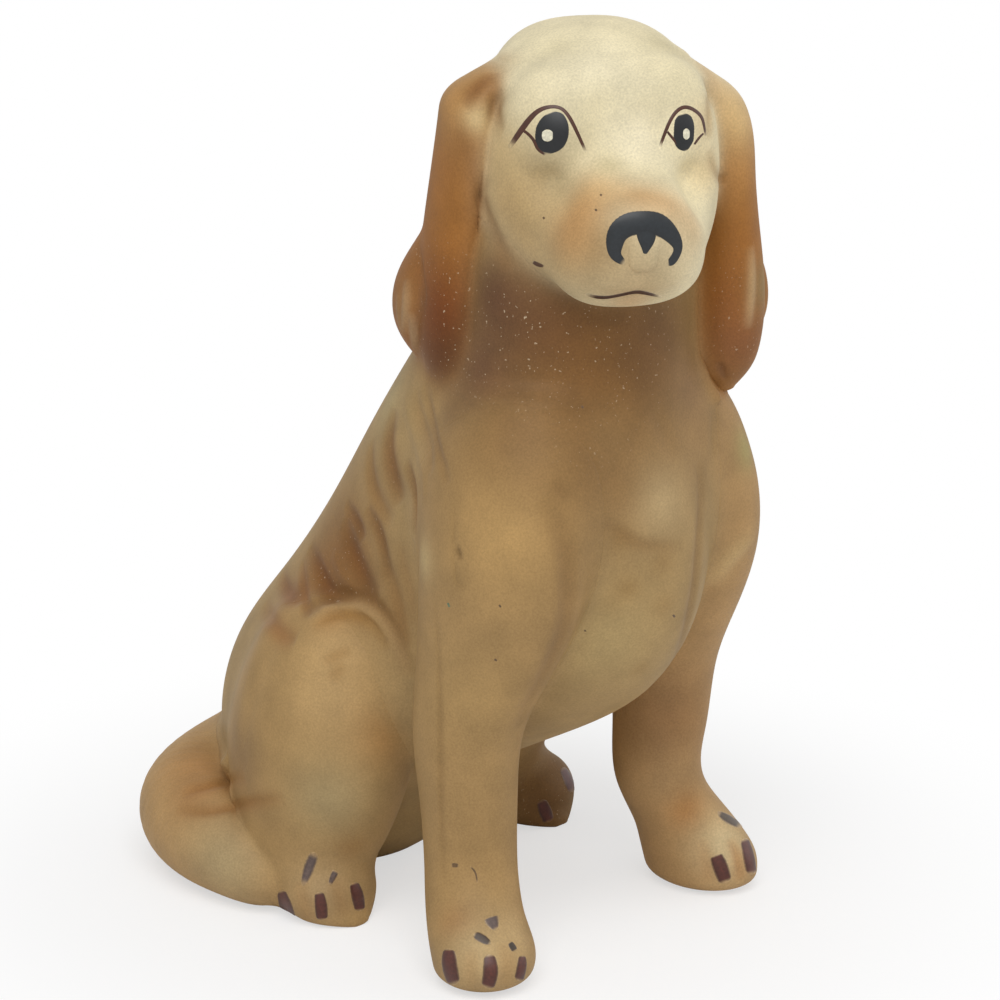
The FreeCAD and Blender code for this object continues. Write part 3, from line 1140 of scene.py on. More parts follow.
class Clay:
    """The nine castings as fields, luted together, with the grooves that are pressed in them."""

    def __init__(self) -> None:
        """Gathers the forms, the lutes between them and the table that they are ground flat on."""
        self.forms: dict[Casting, Form] = {
            Casting.TORSO: TorsoForm(),
            Casting.HEAD: HeadForm(),
            Casting.RIGHT_EAR: EarForm(-1.0, shares=RIGHT_FLAP_SHARES),
            Casting.LEFT_EAR: EarForm(1.0, root_rise=7.9, out=24.0),
            Casting.RIGHT_FORELEG: ForelegForm(-1.0, RIGHT_PAW_SHARES, 34.0),
            Casting.LEFT_FORELEG: ForelegForm(1.0, LEFT_PAW_SHARES, 6.0),
            Casting.RIGHT_HAUNCH: HaunchForm(-1.0),
            Casting.LEFT_HAUNCH: HaunchForm(
                1.0, thigh_set_back=10.0, foot_set_back=6.5, foot_set_out=2.9, line_set_back=5.5
            ),
            Casting.TAIL: TailForm(),
        }
        self.lutes = (
            Lute(Casting.HEAD, Casting.TORSO, 2.0, 8.0, 121.0, 134.0),
            Lute(Casting.RIGHT_EAR, Casting.HEAD, 1.2, 6.0, 146.0, 153.0),
            Lute(Casting.LEFT_EAR, Casting.HEAD, 3.0, 6.0, 146.0, 153.0),
            Lute(Casting.RIGHT_EAR, Casting.TORSO, 1.4, 1.4),
            Lute(Casting.LEFT_EAR, Casting.TORSO, 4.0, 4.0),
            Lute(Casting.LEFT_EAR, Casting.LEFT_FORELEG, 1.0, 1.0),
            Lute(Casting.RIGHT_EAR, Casting.RIGHT_FORELEG, 1.0, 1.0),
            Lute(Casting.RIGHT_FORELEG, Casting.TORSO, 2.5, 12.0, 62.0, 92.0),
            Lute(Casting.LEFT_FORELEG, Casting.TORSO, 2.5, 12.0, 62.0, 92.0),
            Lute(Casting.RIGHT_HAUNCH, Casting.TORSO, 2.5, 6.0, 25.0, 54.0, 9.0),
            Lute(Casting.LEFT_HAUNCH, Casting.TORSO, 3.0, 10.0, 25.0, 52.0, 5.0),
            Lute(Casting.TAIL, Casting.TORSO, 5.0, 5.0),
            Lute(Casting.TAIL, Casting.RIGHT_HAUNCH, 1.2, 1.2),
        )
        self.dive = 0.8
        self.table_edge = 0.9
        self.grooves: list[Groove] = []

    def relief(self, p: Array) -> Array:
        """How far all grooves together draw the clay in.

        Args:
            p: points in the dog's frame.

        Returns:
            A depth for each point, in mm.
        """
        total = np.zeros(len(p))
        for groove in self.grooves:
            total += groove.relief(p)
        return total

    def skin(self, casting: Casting, grooved: bool = True) -> Field:
        """The field whose zero is one casting's surface, fillets and grooves included.

        Up to the joint it is the casting's field less the fillets' swelling. Past the joint it bends
        gently down under the neighbour, so that the two meshes meet without a step.

        Args:
            casting: which casting.
            grooved: whether the grooves are pressed in.

        Returns:
            The field.
        """
        lutes = [
            (lute, lute.second if lute.first is casting else lute.first)
            for lute in self.lutes
            if casting in (lute.first, lute.second)
        ]

        def field(p: Array) -> Array:
            """The casting's field.

            Args:
                p: points in the dog's frame.

            Returns:
                The field at each point.
            """
            own = self.forms[casting].field(p)
            nearest = np.full(len(p), FAR)
            lift = np.zeros(len(p))
            for lute, other in lutes:
                beside = self.forms[other].field(p)
                lift += swelling(own - beside, lute.reach(p))
                nearest = np.minimum(nearest, beside)
            past = np.maximum(own - nearest, 0)
            held = np.where(past < self.dive, past - past**2 / (2 * self.dive), self.dive / 2)
            total = own - lift - held
            if grooved:
                total = total + self.relief(p)
            return carved(total, p[:, 2], self.table_edge)

        return field

    def face(self, p: Array) -> Array:
        """The field of the whole figure with its grooves."""
        return self.whole(p) + self.relief(p)

    def whole(self, p: Array) -> Array:
        """The field of the whole figure, fillets included, without its grooves.

        Args:
            p: points in the dog's frame.

        Returns:
            The field at each point.
        """
        parts = {casting: form.field(p) for casting, form in self.forms.items()}
        lifted = {casting: part.copy() for casting, part in parts.items()}
        for lute in self.lutes:
            lift = swelling(parts[lute.first] - parts[lute.second], lute.reach(p))
            lifted[lute.first] -= lift
            lifted[lute.second] -= lift
        return carved(np.min(list(lifted.values()), axis=0), p[:, 2], self.table_edge)


@dataclass(frozen=True)
class SprayAndPaintedLight:
    """A soft patch of colour about a point, on one casting or on all: mostly airbrushed colour, and in a few
    places painted highlights and painted shade.
    """

    colour: str
    middle: Array
    radii: Point
    strength: float
    on: Casting | None = None

    def laid(self, base: Array, p: Array, shares: dict[Casting, Array]) -> Array:
        """Mixes the colour in by strength times exp(-d^2), d being the distance over the radii.

        Args:
            base: the colour so far, a row for each point.
            p: points in the dog's frame.
            shares: how much each point belongs to each casting.

        Returns:
            The new colour.
        """
        d = (p - self.middle) / np.array(self.radii)
        share = self.strength * np.exp(-(d**2).sum(1))
        if self.on is not None:
            share = share * shares[self.on]
        return base * (1 - share[:, None]) + np.array(linear(self.colour)) * share[:, None]


def with_poles(grid: Array) -> Array:
    """The rows of a grid of rings one after the other, with one row for each pole."""
    return np.concatenate([grid[:1, 0], grid[1:-1].reshape(-1, 3), grid[-1:, 0]])


def closed_faces(rings: int, spokes: int) -> tuple[Array, Array]:
    """Faces that close a grid of rings whose first and last ring are poles.

    Ring i and spoke j make the corner 1 + (i - 1) * spokes + j, the first pole is corner 0 and the
    last pole comes after all the rings.

    Args:
        rings: how many rings, the poles among them.
        spokes: how many corners a ring has.

    Returns:
        The corners of the four-sided faces, and those of the triangles round the poles.
    """
    i = np.arange(rings - 3)[:, None] * spokes + 1
    j = np.arange(spokes)[None]
    k = (j + 1) % spokes
    quads = np.stack([i + j, i + k, i + spokes + k, i + spokes + j], axis=-1).reshape(-1, 4)
    j, k = j[0], k[0]
    last = (rings - 2) * spokes + 1
    base = last - spokes
    first_fan = np.stack([np.zeros_like(j), 1 + k, 1 + j], axis=-1)
    last_fan = np.stack([np.full_like(j, last), base + j, base + k], axis=-1)
    return quads, np.concatenate([first_fan, last_fan])


class Figure:
    """Turns fields into meshes in the row's frame, and keeps what every piece needs."""

    def __init__(self, clay: Clay, shift: Array, fine: bool) -> None:
        """Keeps what every piece needs.

        Args:
            clay: the castings' fields.
            shift: the way from the dog's frame to the row's, in mm.
            fine: whether meshes get all their rings and spokes.
        """
        self.clay = clay
        self.shift = shift
        self.fine = fine
        self.sprays_and_painted_light: list[SprayAndPaintedLight] = []
        self.grounds: dict[Casting, str] = {}
        self.overspray = 1.2

    def colours(self, p: Array) -> Array:
        """The airbrushed colour at each point, with the painted highlights and painted shade that some
        patches add.

        Each casting's ground colour counts by exp(-f/overspray), f being its field outside it, so
        that grounds run into each other at a joint. The patches, airbrushed colour, painted highlights
        and painted shade, and the grooves' colours lie on top.

        Args:
            p: points in the dog's frame.

        Returns:
            Linear red, green and blue, a row for each point.
        """
        weights = {
            casting: np.exp(-np.maximum(form.field(p), 0) / self.overspray)
            for casting, form in self.clay.forms.items()
        }
        total = sum(weights.values())
        shares = {casting: weight / total for casting, weight in weights.items()}
        base = sum(shares[c][:, None] * np.array(linear(self.grounds[c])) for c in shares)
        for spray_and_painted_light in self.sprays_and_painted_light:
            base = spray_and_painted_light.laid(base, p, shares)
        for groove in self.clay.grooves:
            base = groove.laid(base, p)
        return base

    def mesh(self, name: str, grid: Array, material: bpy.types.Material,
             shade: Array | None = None) -> bpy.types.Object:
        """A closed mesh from rings of points whose first and last ring are poles.

        Args:
            name: the piece's name.
            grid: rings by spokes by three, in the dog's frame in mm.
            material: its finish.
            shade: the colour at each point of the grid, or None for the airbrushed one with its painted
                highlights and painted shade.

        Returns:
            The new object, riding on the figure's body.
        """
        points = with_poles(grid)
        quads, fans = closed_faces(*grid.shape[:2])
        a, b, c = points[quads[:, 0]], points[quads[:, 1]], points[quads[:, 2]]
        if np.einsum("ij,ij->", np.cross(a, b), c) < 0:
            quads, fans = quads[:, ::-1], fans[:, ::-1]
        mesh = bpy.data.meshes.new(name)
        corners = np.concatenate([quads.ravel(), fans.ravel()])
        sizes = np.concatenate([np.full(len(quads), 4), np.full(len(fans), 3)])
        mesh.vertices.add(len(points))
        mesh.vertices.foreach_set("co", ((points + self.shift) * MM).astype(np.float32).ravel())
        mesh.loops.add(len(corners))
        mesh.loops.foreach_set("vertex_index", corners.astype(np.int32))
        mesh.polygons.add(len(sizes))
        starts = np.concatenate([[0], np.cumsum(sizes)[:-1]])
        mesh.polygons.foreach_set("loop_start", starts.astype(np.int32))
        mesh.update(calc_edges=True)
        mesh.shade_smooth()
        mesh.materials.append(material)
        spray_and_painted_light = mesh.color_attributes.new("spray_and_painted_light", "FLOAT_COLOR", "POINT")
        shades = self.colours(points) if shade is None else with_poles(shade)
        shades = np.concatenate([shades, np.ones((len(points), 1))], axis=1)
        spray_and_painted_light.data.foreach_set("color", shades.astype(np.float32).ravel())
        piece = bpy.data.objects.new(name, mesh)
        bpy.context.scene.collection.objects.link(piece)
        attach(piece, "root")
        log.info("%s: %d points", name, len(points))
        return piece

    def cast(self, casting: Casting, spine: Spine, material: bpy.types.Material) -> bpy.types.Object:
        """The mesh of one casting.

        Args:
            casting: the casting, whose node it stands for.
            spine: the line that its rays leave.
            material: its finish.

        Returns:
            The new piece.
        """
        rings, spokes = (size if self.fine else size // 2 for size in spine.grid)
        plain = self.clay.skin(casting, grooved=False)
        coarse = (56, 56)
        travel = crossing(plain, *spine.rays(*coarse), spine.reach)
        travel = between(rings, coarse[0], False) @ travel @ between(spokes, coarse[1], True).T
        starts, ways = spine.rays(rings, spokes)
        points = settle(self.clay.skin(casting), starts, ways, travel)
        points[:, 2] = np.maximum(points[:, 2], 0)
        piece = self.mesh(casting.value + "_casting", points.reshape(rings, spokes, 3), material)
        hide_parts(casting.value)
        return piece


@dataclass(frozen=True)
class Brush:
    """How enamel is laid: its colour in the middle of a stroke and at the edge, and the stroke's form.

    Soft is the share of the half width over which the colour thins out, lift is how far the enamel
    stands off the clay in mm, and round_share is the share of the stroke that its ends are round on.
    """

    colour: str
    edge_colour: str
    soft: float
    lift: float
    round_share: float


@dataclass(frozen=True)
class Stroke:
    """One stroke of enamel, by places in the picture along it and its half width there in mm."""

    name: str
    spots: tuple[Spot, ...]
    half_widths: tuple[float, ...]
    brush: Brush
    sunk: float = 0.02
    root: float = 0.2

    def paint(self, figure: Figure, picture: Picture, material: bpy.types.Material) -> None:
        """Lays the stroke on the clay as a thin closed skin.

        With s along the stroke and t from -1 to 1 across it, the picture's place is the line's at s
        plus t times the half width, square to the line. Rays of the picture bring it to the clay. The
        skin's top stands off by the lift times (1 - t^4), and its underside lies in the clay. Its
        colour thins out to the clay's own towards the rim.

        Args:
            figure: what makes the mesh.
            picture: the camera whose rays bring the stroke to the clay.
            material: the enamel.
        """
        rings, lanes = (72, 14) if figure.fine else (40, 10)
        brush = self.brush
        s = (1 - np.cos(np.linspace(0, math.pi, rings))) / 2
        knots = np.linspace(0, 1, len(self.spots))
        rows = np.column_stack([np.array(self.spots, float), np.array(self.half_widths, float)])
        line = spline(knots, rows, s) if len(rows) > 2 else rows[0] + s[:, None] * (rows[1] - rows[0])
        run = np.gradient(line[:, :2], s, axis=0)
        across = unit(np.stack([-run[:, 1], run[:, 0]], axis=1))
        end = np.clip((np.abs(2 * s - 1) - 1 + brush.round_share) / brush.round_share, 0, 1)
        width = line[:, 2] * np.sqrt(1 - end**2) * picture.focal_pixels / picture.distance
        t = np.linspace(-1, 1, lanes)
        spots = line[:, None, :2] + (width[:, None] * t)[..., None] * across[:, None]
        ground = picture.seen(spots.reshape(-1, 2), figure.clay.whole)
        out = gradient(figure.clay.whole, ground)
        ground = ground - figure.clay.face(ground)[:, None] * out
        shape = (rings, lanes, 3)
        ground, out = ground.reshape(shape), out.reshape(shape)
        rise = brush.lift * (1 - t**4) - self.sunk
        top = ground + rise[None, :, None] * out
        under = ground - self.root * out
        grid = np.concatenate([top, under[:, ::-1]], axis=1)
        grid[0], grid[-1] = grid[0].mean(0), grid[-1].mean(0)
        cover = ease(1 - np.abs(t), 0, brush.soft)[None] * ease(1 - np.abs(2 * s - 1), 0, brush.soft)[:, None]
        body, edge = np.array(linear(brush.colour)), np.array(linear(brush.edge_colour))
        tone = (1 - t**2)[None, :, None]
        paint = edge * (1 - tone) + body * tone
        bare = figure.colours(ground.reshape(-1, 3)).reshape(shape)
        shade = bare * (1 - cover[..., None]) + paint * cover[..., None]
        shade = np.concatenate([shade, shade[:, ::-1]], axis=1)
        piece = figure.mesh(self.name, grid, material, shade)


def add_node(tree: bpy.types.NodeTree, kind: str, settings: dict | None = None,
             inputs: dict | None = None) -> bpy.types.Node:
    """Adds a node with its settings, and its inputs as values or as sockets to link.

    Args:
        tree: the node tree.
        kind: the node's type name.
        settings: properties by name.
        inputs: values or output sockets by input name or number.

    Returns:
        The new node.
    """
    node = tree.nodes.new(kind)
    for key, value in (settings or {}).items():
        setattr(node, key, value)
    for key, value in (inputs or {}).items():
        if isinstance(value, bpy.types.NodeSocket):
            tree.links.new(value, node.inputs[key])
        else:
            node.inputs[key].default_value = value
    return node


def empty_material(name: str) -> tuple[bpy.types.Material, bpy.types.NodeTree, bpy.types.Node]:
    """A new material.

    Args:
        name: the finish.

    Returns:
        The material, its node tree and the output, which is the tree's only node.
    """
    material = bpy.data.materials.new(name)
    material.use_nodes = True
    tree = material.node_tree
    tree.nodes.clear()
    return material, tree, add_node(tree, "ShaderNodeOutputMaterial")


@dataclass(frozen=True)
class Bisque:
    """Unglazed slip-cast earthenware, airbrushed: what gives the figure its dry, sandy look."""

    # The grain of fired clay: the eye sees it as a faint sandiness that dulls every highlight
    grain_mm: float = 0.35
    grain_detail: float = 2.0
    grain_height_mm: float = 0.06
    grain_strength: float = 0.25
    # Clouds of thicker and thinner airbrushed colour: no patch looks flat
    mottle_mm: float = 7.0
    mottle_detail: float = 4.0
    # Noise between these values is stretched to the tones, so that dark and light both show
    noise_span: tuple[float, float] = (0.3, 0.7)
    tones: tuple[float, float] = (0.9, 1.1)
    # Pale dust in the pores, where the sprayed colour is dark: the tiny light dots on chest and ears.
    # Real pores are finer, and these are drawn as coarse as they need to show
    dust_mm: float = 0.55
    dust_detail: float = 1.0
    dust_colour: str = "#cdb99a"
    dust_span: tuple[float, float] = (0.7, 0.76)
    dust_cover: float = 0.7
    dusty_from: float = 0.17
    dusty_full: float = 0.09
    # Matt, with a faint wide sheen where it was handled
    roughness: float = 0.58
    sheen: float = 0.22

    def build(self) -> bpy.types.Material:
        """The bisque, its colour from the pieces' spray attribute.

        Returns:
            The material.
        """
        material, tree, out = empty_material("airbrushed_bisque")
        spray_and_painted_light = add_node(tree, "ShaderNodeAttribute", {"attribute_name": "spray_and_painted_light"})
        place = add_node(tree, "ShaderNodeTexCoord").outputs["Object"]
        grain = add_node(tree, "ShaderNodeTexNoise", None,
                         {"Vector": place, "Scale": 1 / (self.grain_mm * MM), "Detail": self.grain_detail})
        mottle = add_node(tree, "ShaderNodeTexNoise", None,
                          {"Vector": place, "Scale": 1 / (self.mottle_mm * MM), "Detail": self.mottle_detail})
        sand, cloud = (self.stretched(tree, noise) for noise in (grain, mottle))
        both = add_node(tree, "ShaderNodeMath", {"operation": "MULTIPLY"}, {0: sand, 1: cloud})
        tint = add_node(tree, "ShaderNodeVectorMath", {"operation": "SCALE"},
                        {0: spray_and_painted_light.outputs["Color"], "Scale": both.outputs["Value"]})
        dusted = add_node(tree, "ShaderNodeMix", {"data_type": "RGBA"})
        tree.links.new(self.dust_share(tree, spray_and_painted_light.outputs["Color"], place), dusted.inputs[0])
        tree.links.new(tint.outputs["Vector"], dusted.inputs[6])
        dusted.inputs[7].default_value = (*linear(self.dust_colour), 1)
        bump = add_node(tree, "ShaderNodeBump", None,
                        {"Height": grain.outputs["Fac"], "Strength": self.grain_strength,
                         "Distance": self.grain_height_mm * MM})
        clay = add_node(tree, "ShaderNodeBsdfPrincipled", None,
                        {"Base Color": dusted.outputs[2], "Normal": bump.outputs["Normal"],
                         "Roughness": self.roughness, "Specular IOR Level": self.sheen})
        tree.links.new(clay.outputs["BSDF"], out.inputs["Surface"])
        return material

    def stretched(self, tree: bpy.types.NodeTree, noise: bpy.types.Node) -> bpy.types.NodeSocket:
        """Brings a noise to the tones that the sprayed colour is multiplied by.

        Args:
            tree: the material's nodes.
            noise: the noise.

        Returns:
            The tone.
        """
        low, high = self.noise_span
        dark, light = self.tones
        tone = add_node(tree, "ShaderNodeMapRange", None,
                        {"Value": noise.outputs["Fac"], "From Min": low, "From Max": high,
                         "To Min": dark, "To Max": light})
        return tone.outputs["Result"]

    def dust_share(self, tree: bpy.types.NodeTree, colour: bpy.types.NodeSocket,
                   place: bpy.types.NodeSocket) -> bpy.types.NodeSocket:
        """How much dust lies at a place: dots of noise, and only where the colour is dark.

        Args:
            tree: the material's nodes.
            colour: the sprayed colour.
            place: the place on the piece.

        Returns:
            The share of dust.
        """
        dark = add_node(tree, "ShaderNodeRGBToBW", None, {"Color": colour})
        depth = add_node(tree, "ShaderNodeMapRange", None,
                         {"Value": dark.outputs["Val"], "From Min": self.dusty_from,
                          "From Max": self.dusty_full, "To Min": 0.0, "To Max": 1.0})
        dust = add_node(tree, "ShaderNodeTexNoise", None,
                        {"Vector": place, "Scale": 1 / (self.dust_mm * MM), "Detail": self.dust_detail})
        low, high = self.dust_span
        dots = add_node(tree, "ShaderNodeMapRange", None,
                        {"Value": dust.outputs["Fac"], "From Min": low, "From Max": high,
                         "To Min": 0.0, "To Max": self.dust_cover})
        cover = add_node(tree, "ShaderNodeMath", {"operation": "MULTIPLY"},
                         {0: depth.outputs["Result"], 1: dots.outputs["Result"]})
        return cover.outputs["Value"]


@dataclass(frozen=True)
class Enamel:
    """Dark enamel, brushed on and fired: what makes eyes and nose look wet beside the dry clay."""

    # Streaks of the brush: the black looks rubbed and not quite even
    streak_mm: float = 0.5
    streak_detail: float = 4.0
    noise_span: tuple[float, float] = (0.3, 0.75)
    tones: tuple[float, float] = (0.8, 1.35)
    # Glossier than the bisque, but thin and aged, so that its highlights stay soft
    roughness: float = 0.42

    def build(self) -> bpy.types.Material:
        """The enamel, its colour from the stroke's spray attribute.

        Returns:
            The material.
        """
        material, tree, out = empty_material("brushed_enamel")
        spray_and_painted_light = add_node(tree, "ShaderNodeAttribute", {"attribute_name": "spray_and_painted_light"})
        place = add_node(tree, "ShaderNodeTexCoord").outputs["Object"]
        rub = add_node(tree, "ShaderNodeTexNoise", None,
                       {"Vector": place, "Scale": 1 / (self.streak_mm * MM), "Detail": self.streak_detail})
        low, high = self.noise_span
        dark, light = self.tones
        worn = add_node(tree, "ShaderNodeMapRange", None,
                        {"Value": rub.outputs["Fac"], "From Min": low, "From Max": high,
                         "To Min": dark, "To Max": light})
        tint = add_node(tree, "ShaderNodeVectorMath", {"operation": "SCALE"},
                        {0: spray_and_painted_light.outputs["Color"], "Scale": worn.outputs["Result"]})
        paint = add_node(tree, "ShaderNodeBsdfPrincipled", None,
                         {"Base Color": tint.outputs["Vector"], "Roughness": self.roughness})
        tree.links.new(paint.outputs["BSDF"], out.inputs["Surface"])
        return material


@dataclass(frozen=True)
class Stage:
    """Pale floor, soft lamps and the camera of the photograph."""

    picture: Picture
    floor_half: float = 3000.0
    shadow_reach: float = 50.0
    white_reach: float = 130.0
    near_white: float = 0.6
    lamp_size: float = 700.0
    key_place: Point = (-420.0, -380.0, 820.0)
    key_power: float = 5.2
    fill_place: Point = (600.0, -500.0, 380.0)
    fill_power: float = 1.0
    sky: float = 0.44
    sensor: float = 36.0
    clip_near: float = 0.01
    clip_far: float = 20.0

    def floor(self) -> bpy.types.Object:
        """White paper that keeps the figure's soft shadow and runs out to plain white round it.

        Returns:
            The floor.
        """
        material, tree, out = empty_material("white_paper")
        place = add_node(tree, "ShaderNodeTexCoord")
        away = add_node(tree, "ShaderNodeVectorMath", {"operation": "LENGTH"}, {0: place.outputs["Object"]})
        far = add_node(tree, "ShaderNodeMapRange", {"interpolation_type": "SMOOTHSTEP"},
                       {"Value": away.outputs["Value"], "From Min": self.shadow_reach * MM,
                        "From Max": self.white_reach * MM, "To Min": self.near_white})
        path = add_node(tree, "ShaderNodeLightPath")
        seen = add_node(tree, "ShaderNodeMath", {"operation": "MULTIPLY"},
                        {0: far.outputs["Result"], 1: path.outputs["Is Camera Ray"]})
        paper = add_node(tree, "ShaderNodeBsdfDiffuse", None, {"Color": (1, 1, 1, 1)})
        white = add_node(tree, "ShaderNodeEmission", None, {"Color": (1, 1, 1, 1), "Strength": 1.0})
        both = add_node(tree, "ShaderNodeMixShader", None,
                        {0: seen.outputs["Value"], 1: paper.outputs["BSDF"], 2: white.outputs["Emission"]})
        tree.links.new(both.outputs["Shader"], out.inputs["Surface"])
        half = self.floor_half * MM
        mesh = bpy.data.meshes.new("floor")
        corners = [(-half, -half, 0), (half, -half, 0), (half, half, 0), (-half, half, 0)]
        mesh.from_pydata(corners, [], [(0, 1, 2, 3)])
        mesh.materials.append(material)
        floor = bpy.data.objects.new("floor", mesh)
        bpy.context.scene.collection.objects.link(floor)
        return floor

    def lamp(self, name: str, place: Point, power: float, aim: Array) -> None:
        """A square softbox.

        Args:
            name: the lamp's name.
            place: where it hangs, in mm.
            power: its watts.
            aim: the point that it faces, in mm.
        """
        light = bpy.data.lights.new(name, "AREA")
        light.size, light.energy = self.lamp_size * MM, power
        lamp = bpy.data.objects.new(name, light)
        lamp.location = np.array(place) * MM
        way = Vector(aim * MM) - lamp.location
        lamp.rotation_mode = "QUATERNION"
        lamp.rotation_quaternion = way.to_track_quat("-Z", "Y")
        bpy.context.scene.collection.objects.link(lamp)

    def lamps(self, shift: Array) -> None:
        """A key light from the dog's right and a weak fill from its left.

        Args:
            shift: the way from the dog's frame to the row's, in mm.
        """
        aim = np.array(self.picture.target) + shift
        self.lamp("key", self.key_place, self.key_power, aim)
        self.lamp("fill", self.fill_place, self.fill_power, aim)

    def world(self) -> None:
        """Even white light from all round, seen as white by the camera."""
        world = bpy.data.worlds.new("studio")
        bpy.context.scene.world = world
        world.use_nodes = True
        tree = world.node_tree
        tree.nodes.clear()
        path = add_node(tree, "ShaderNodeLightPath")
        seen = add_node(tree, "ShaderNodeMath", {"operation": "MAXIMUM"},
                        {0: path.outputs["Is Camera Ray"], 1: path.outputs["Is Glossy Ray"]})
        seen = add_node(tree, "ShaderNodeMath", {"operation": "MAXIMUM"},
                        {0: seen.outputs["Value"], 1: path.outputs["Is Transmission Ray"]})
        strength = add_node(tree, "ShaderNodeMapRange", None,
                            {"Value": seen.outputs["Value"], "To Min": self.sky, "To Max": 1.0})
        sky = add_node(tree, "ShaderNodeBackground", None,
                       {"Color": (1, 1, 1, 1), "Strength": strength.outputs["Result"]})
        out = add_node(tree, "ShaderNodeOutputWorld")
        tree.links.new(sky.outputs["Background"], out.inputs["Surface"])

    def camera(self, shift: Array) -> None:
        """The camera of the photograph.

        Args:
            shift: the way from the dog's frame to the row's, in mm.
        """
        data = bpy.data.cameras.new("camera")
        data.sensor_width = self.sensor
        data.lens = self.sensor * self.picture.focal_pixels / self.picture.side_pixels
        data.clip_start, data.clip_end = self.clip_near, self.clip_far
        camera = bpy.data.objects.new("camera", data)
        camera.location = (self.picture.position() + shift) * MM
        camera.rotation_mode = "QUATERNION"
        camera.rotation_quaternion = Vector(-self.picture.back()).to_track_quat("-Z", "Y")
        bpy.context.scene.collection.objects.link(camera)
        bpy.context.scene.camera = camera


GrooveRow = tuple[tuple[Spot, ...], float, float, str | None, float]
SprayAndPaintedLightRow = tuple[str, Spot, float, float, Casting | None]
HiddenRow = tuple[str, Point, float, float, Casting | None]


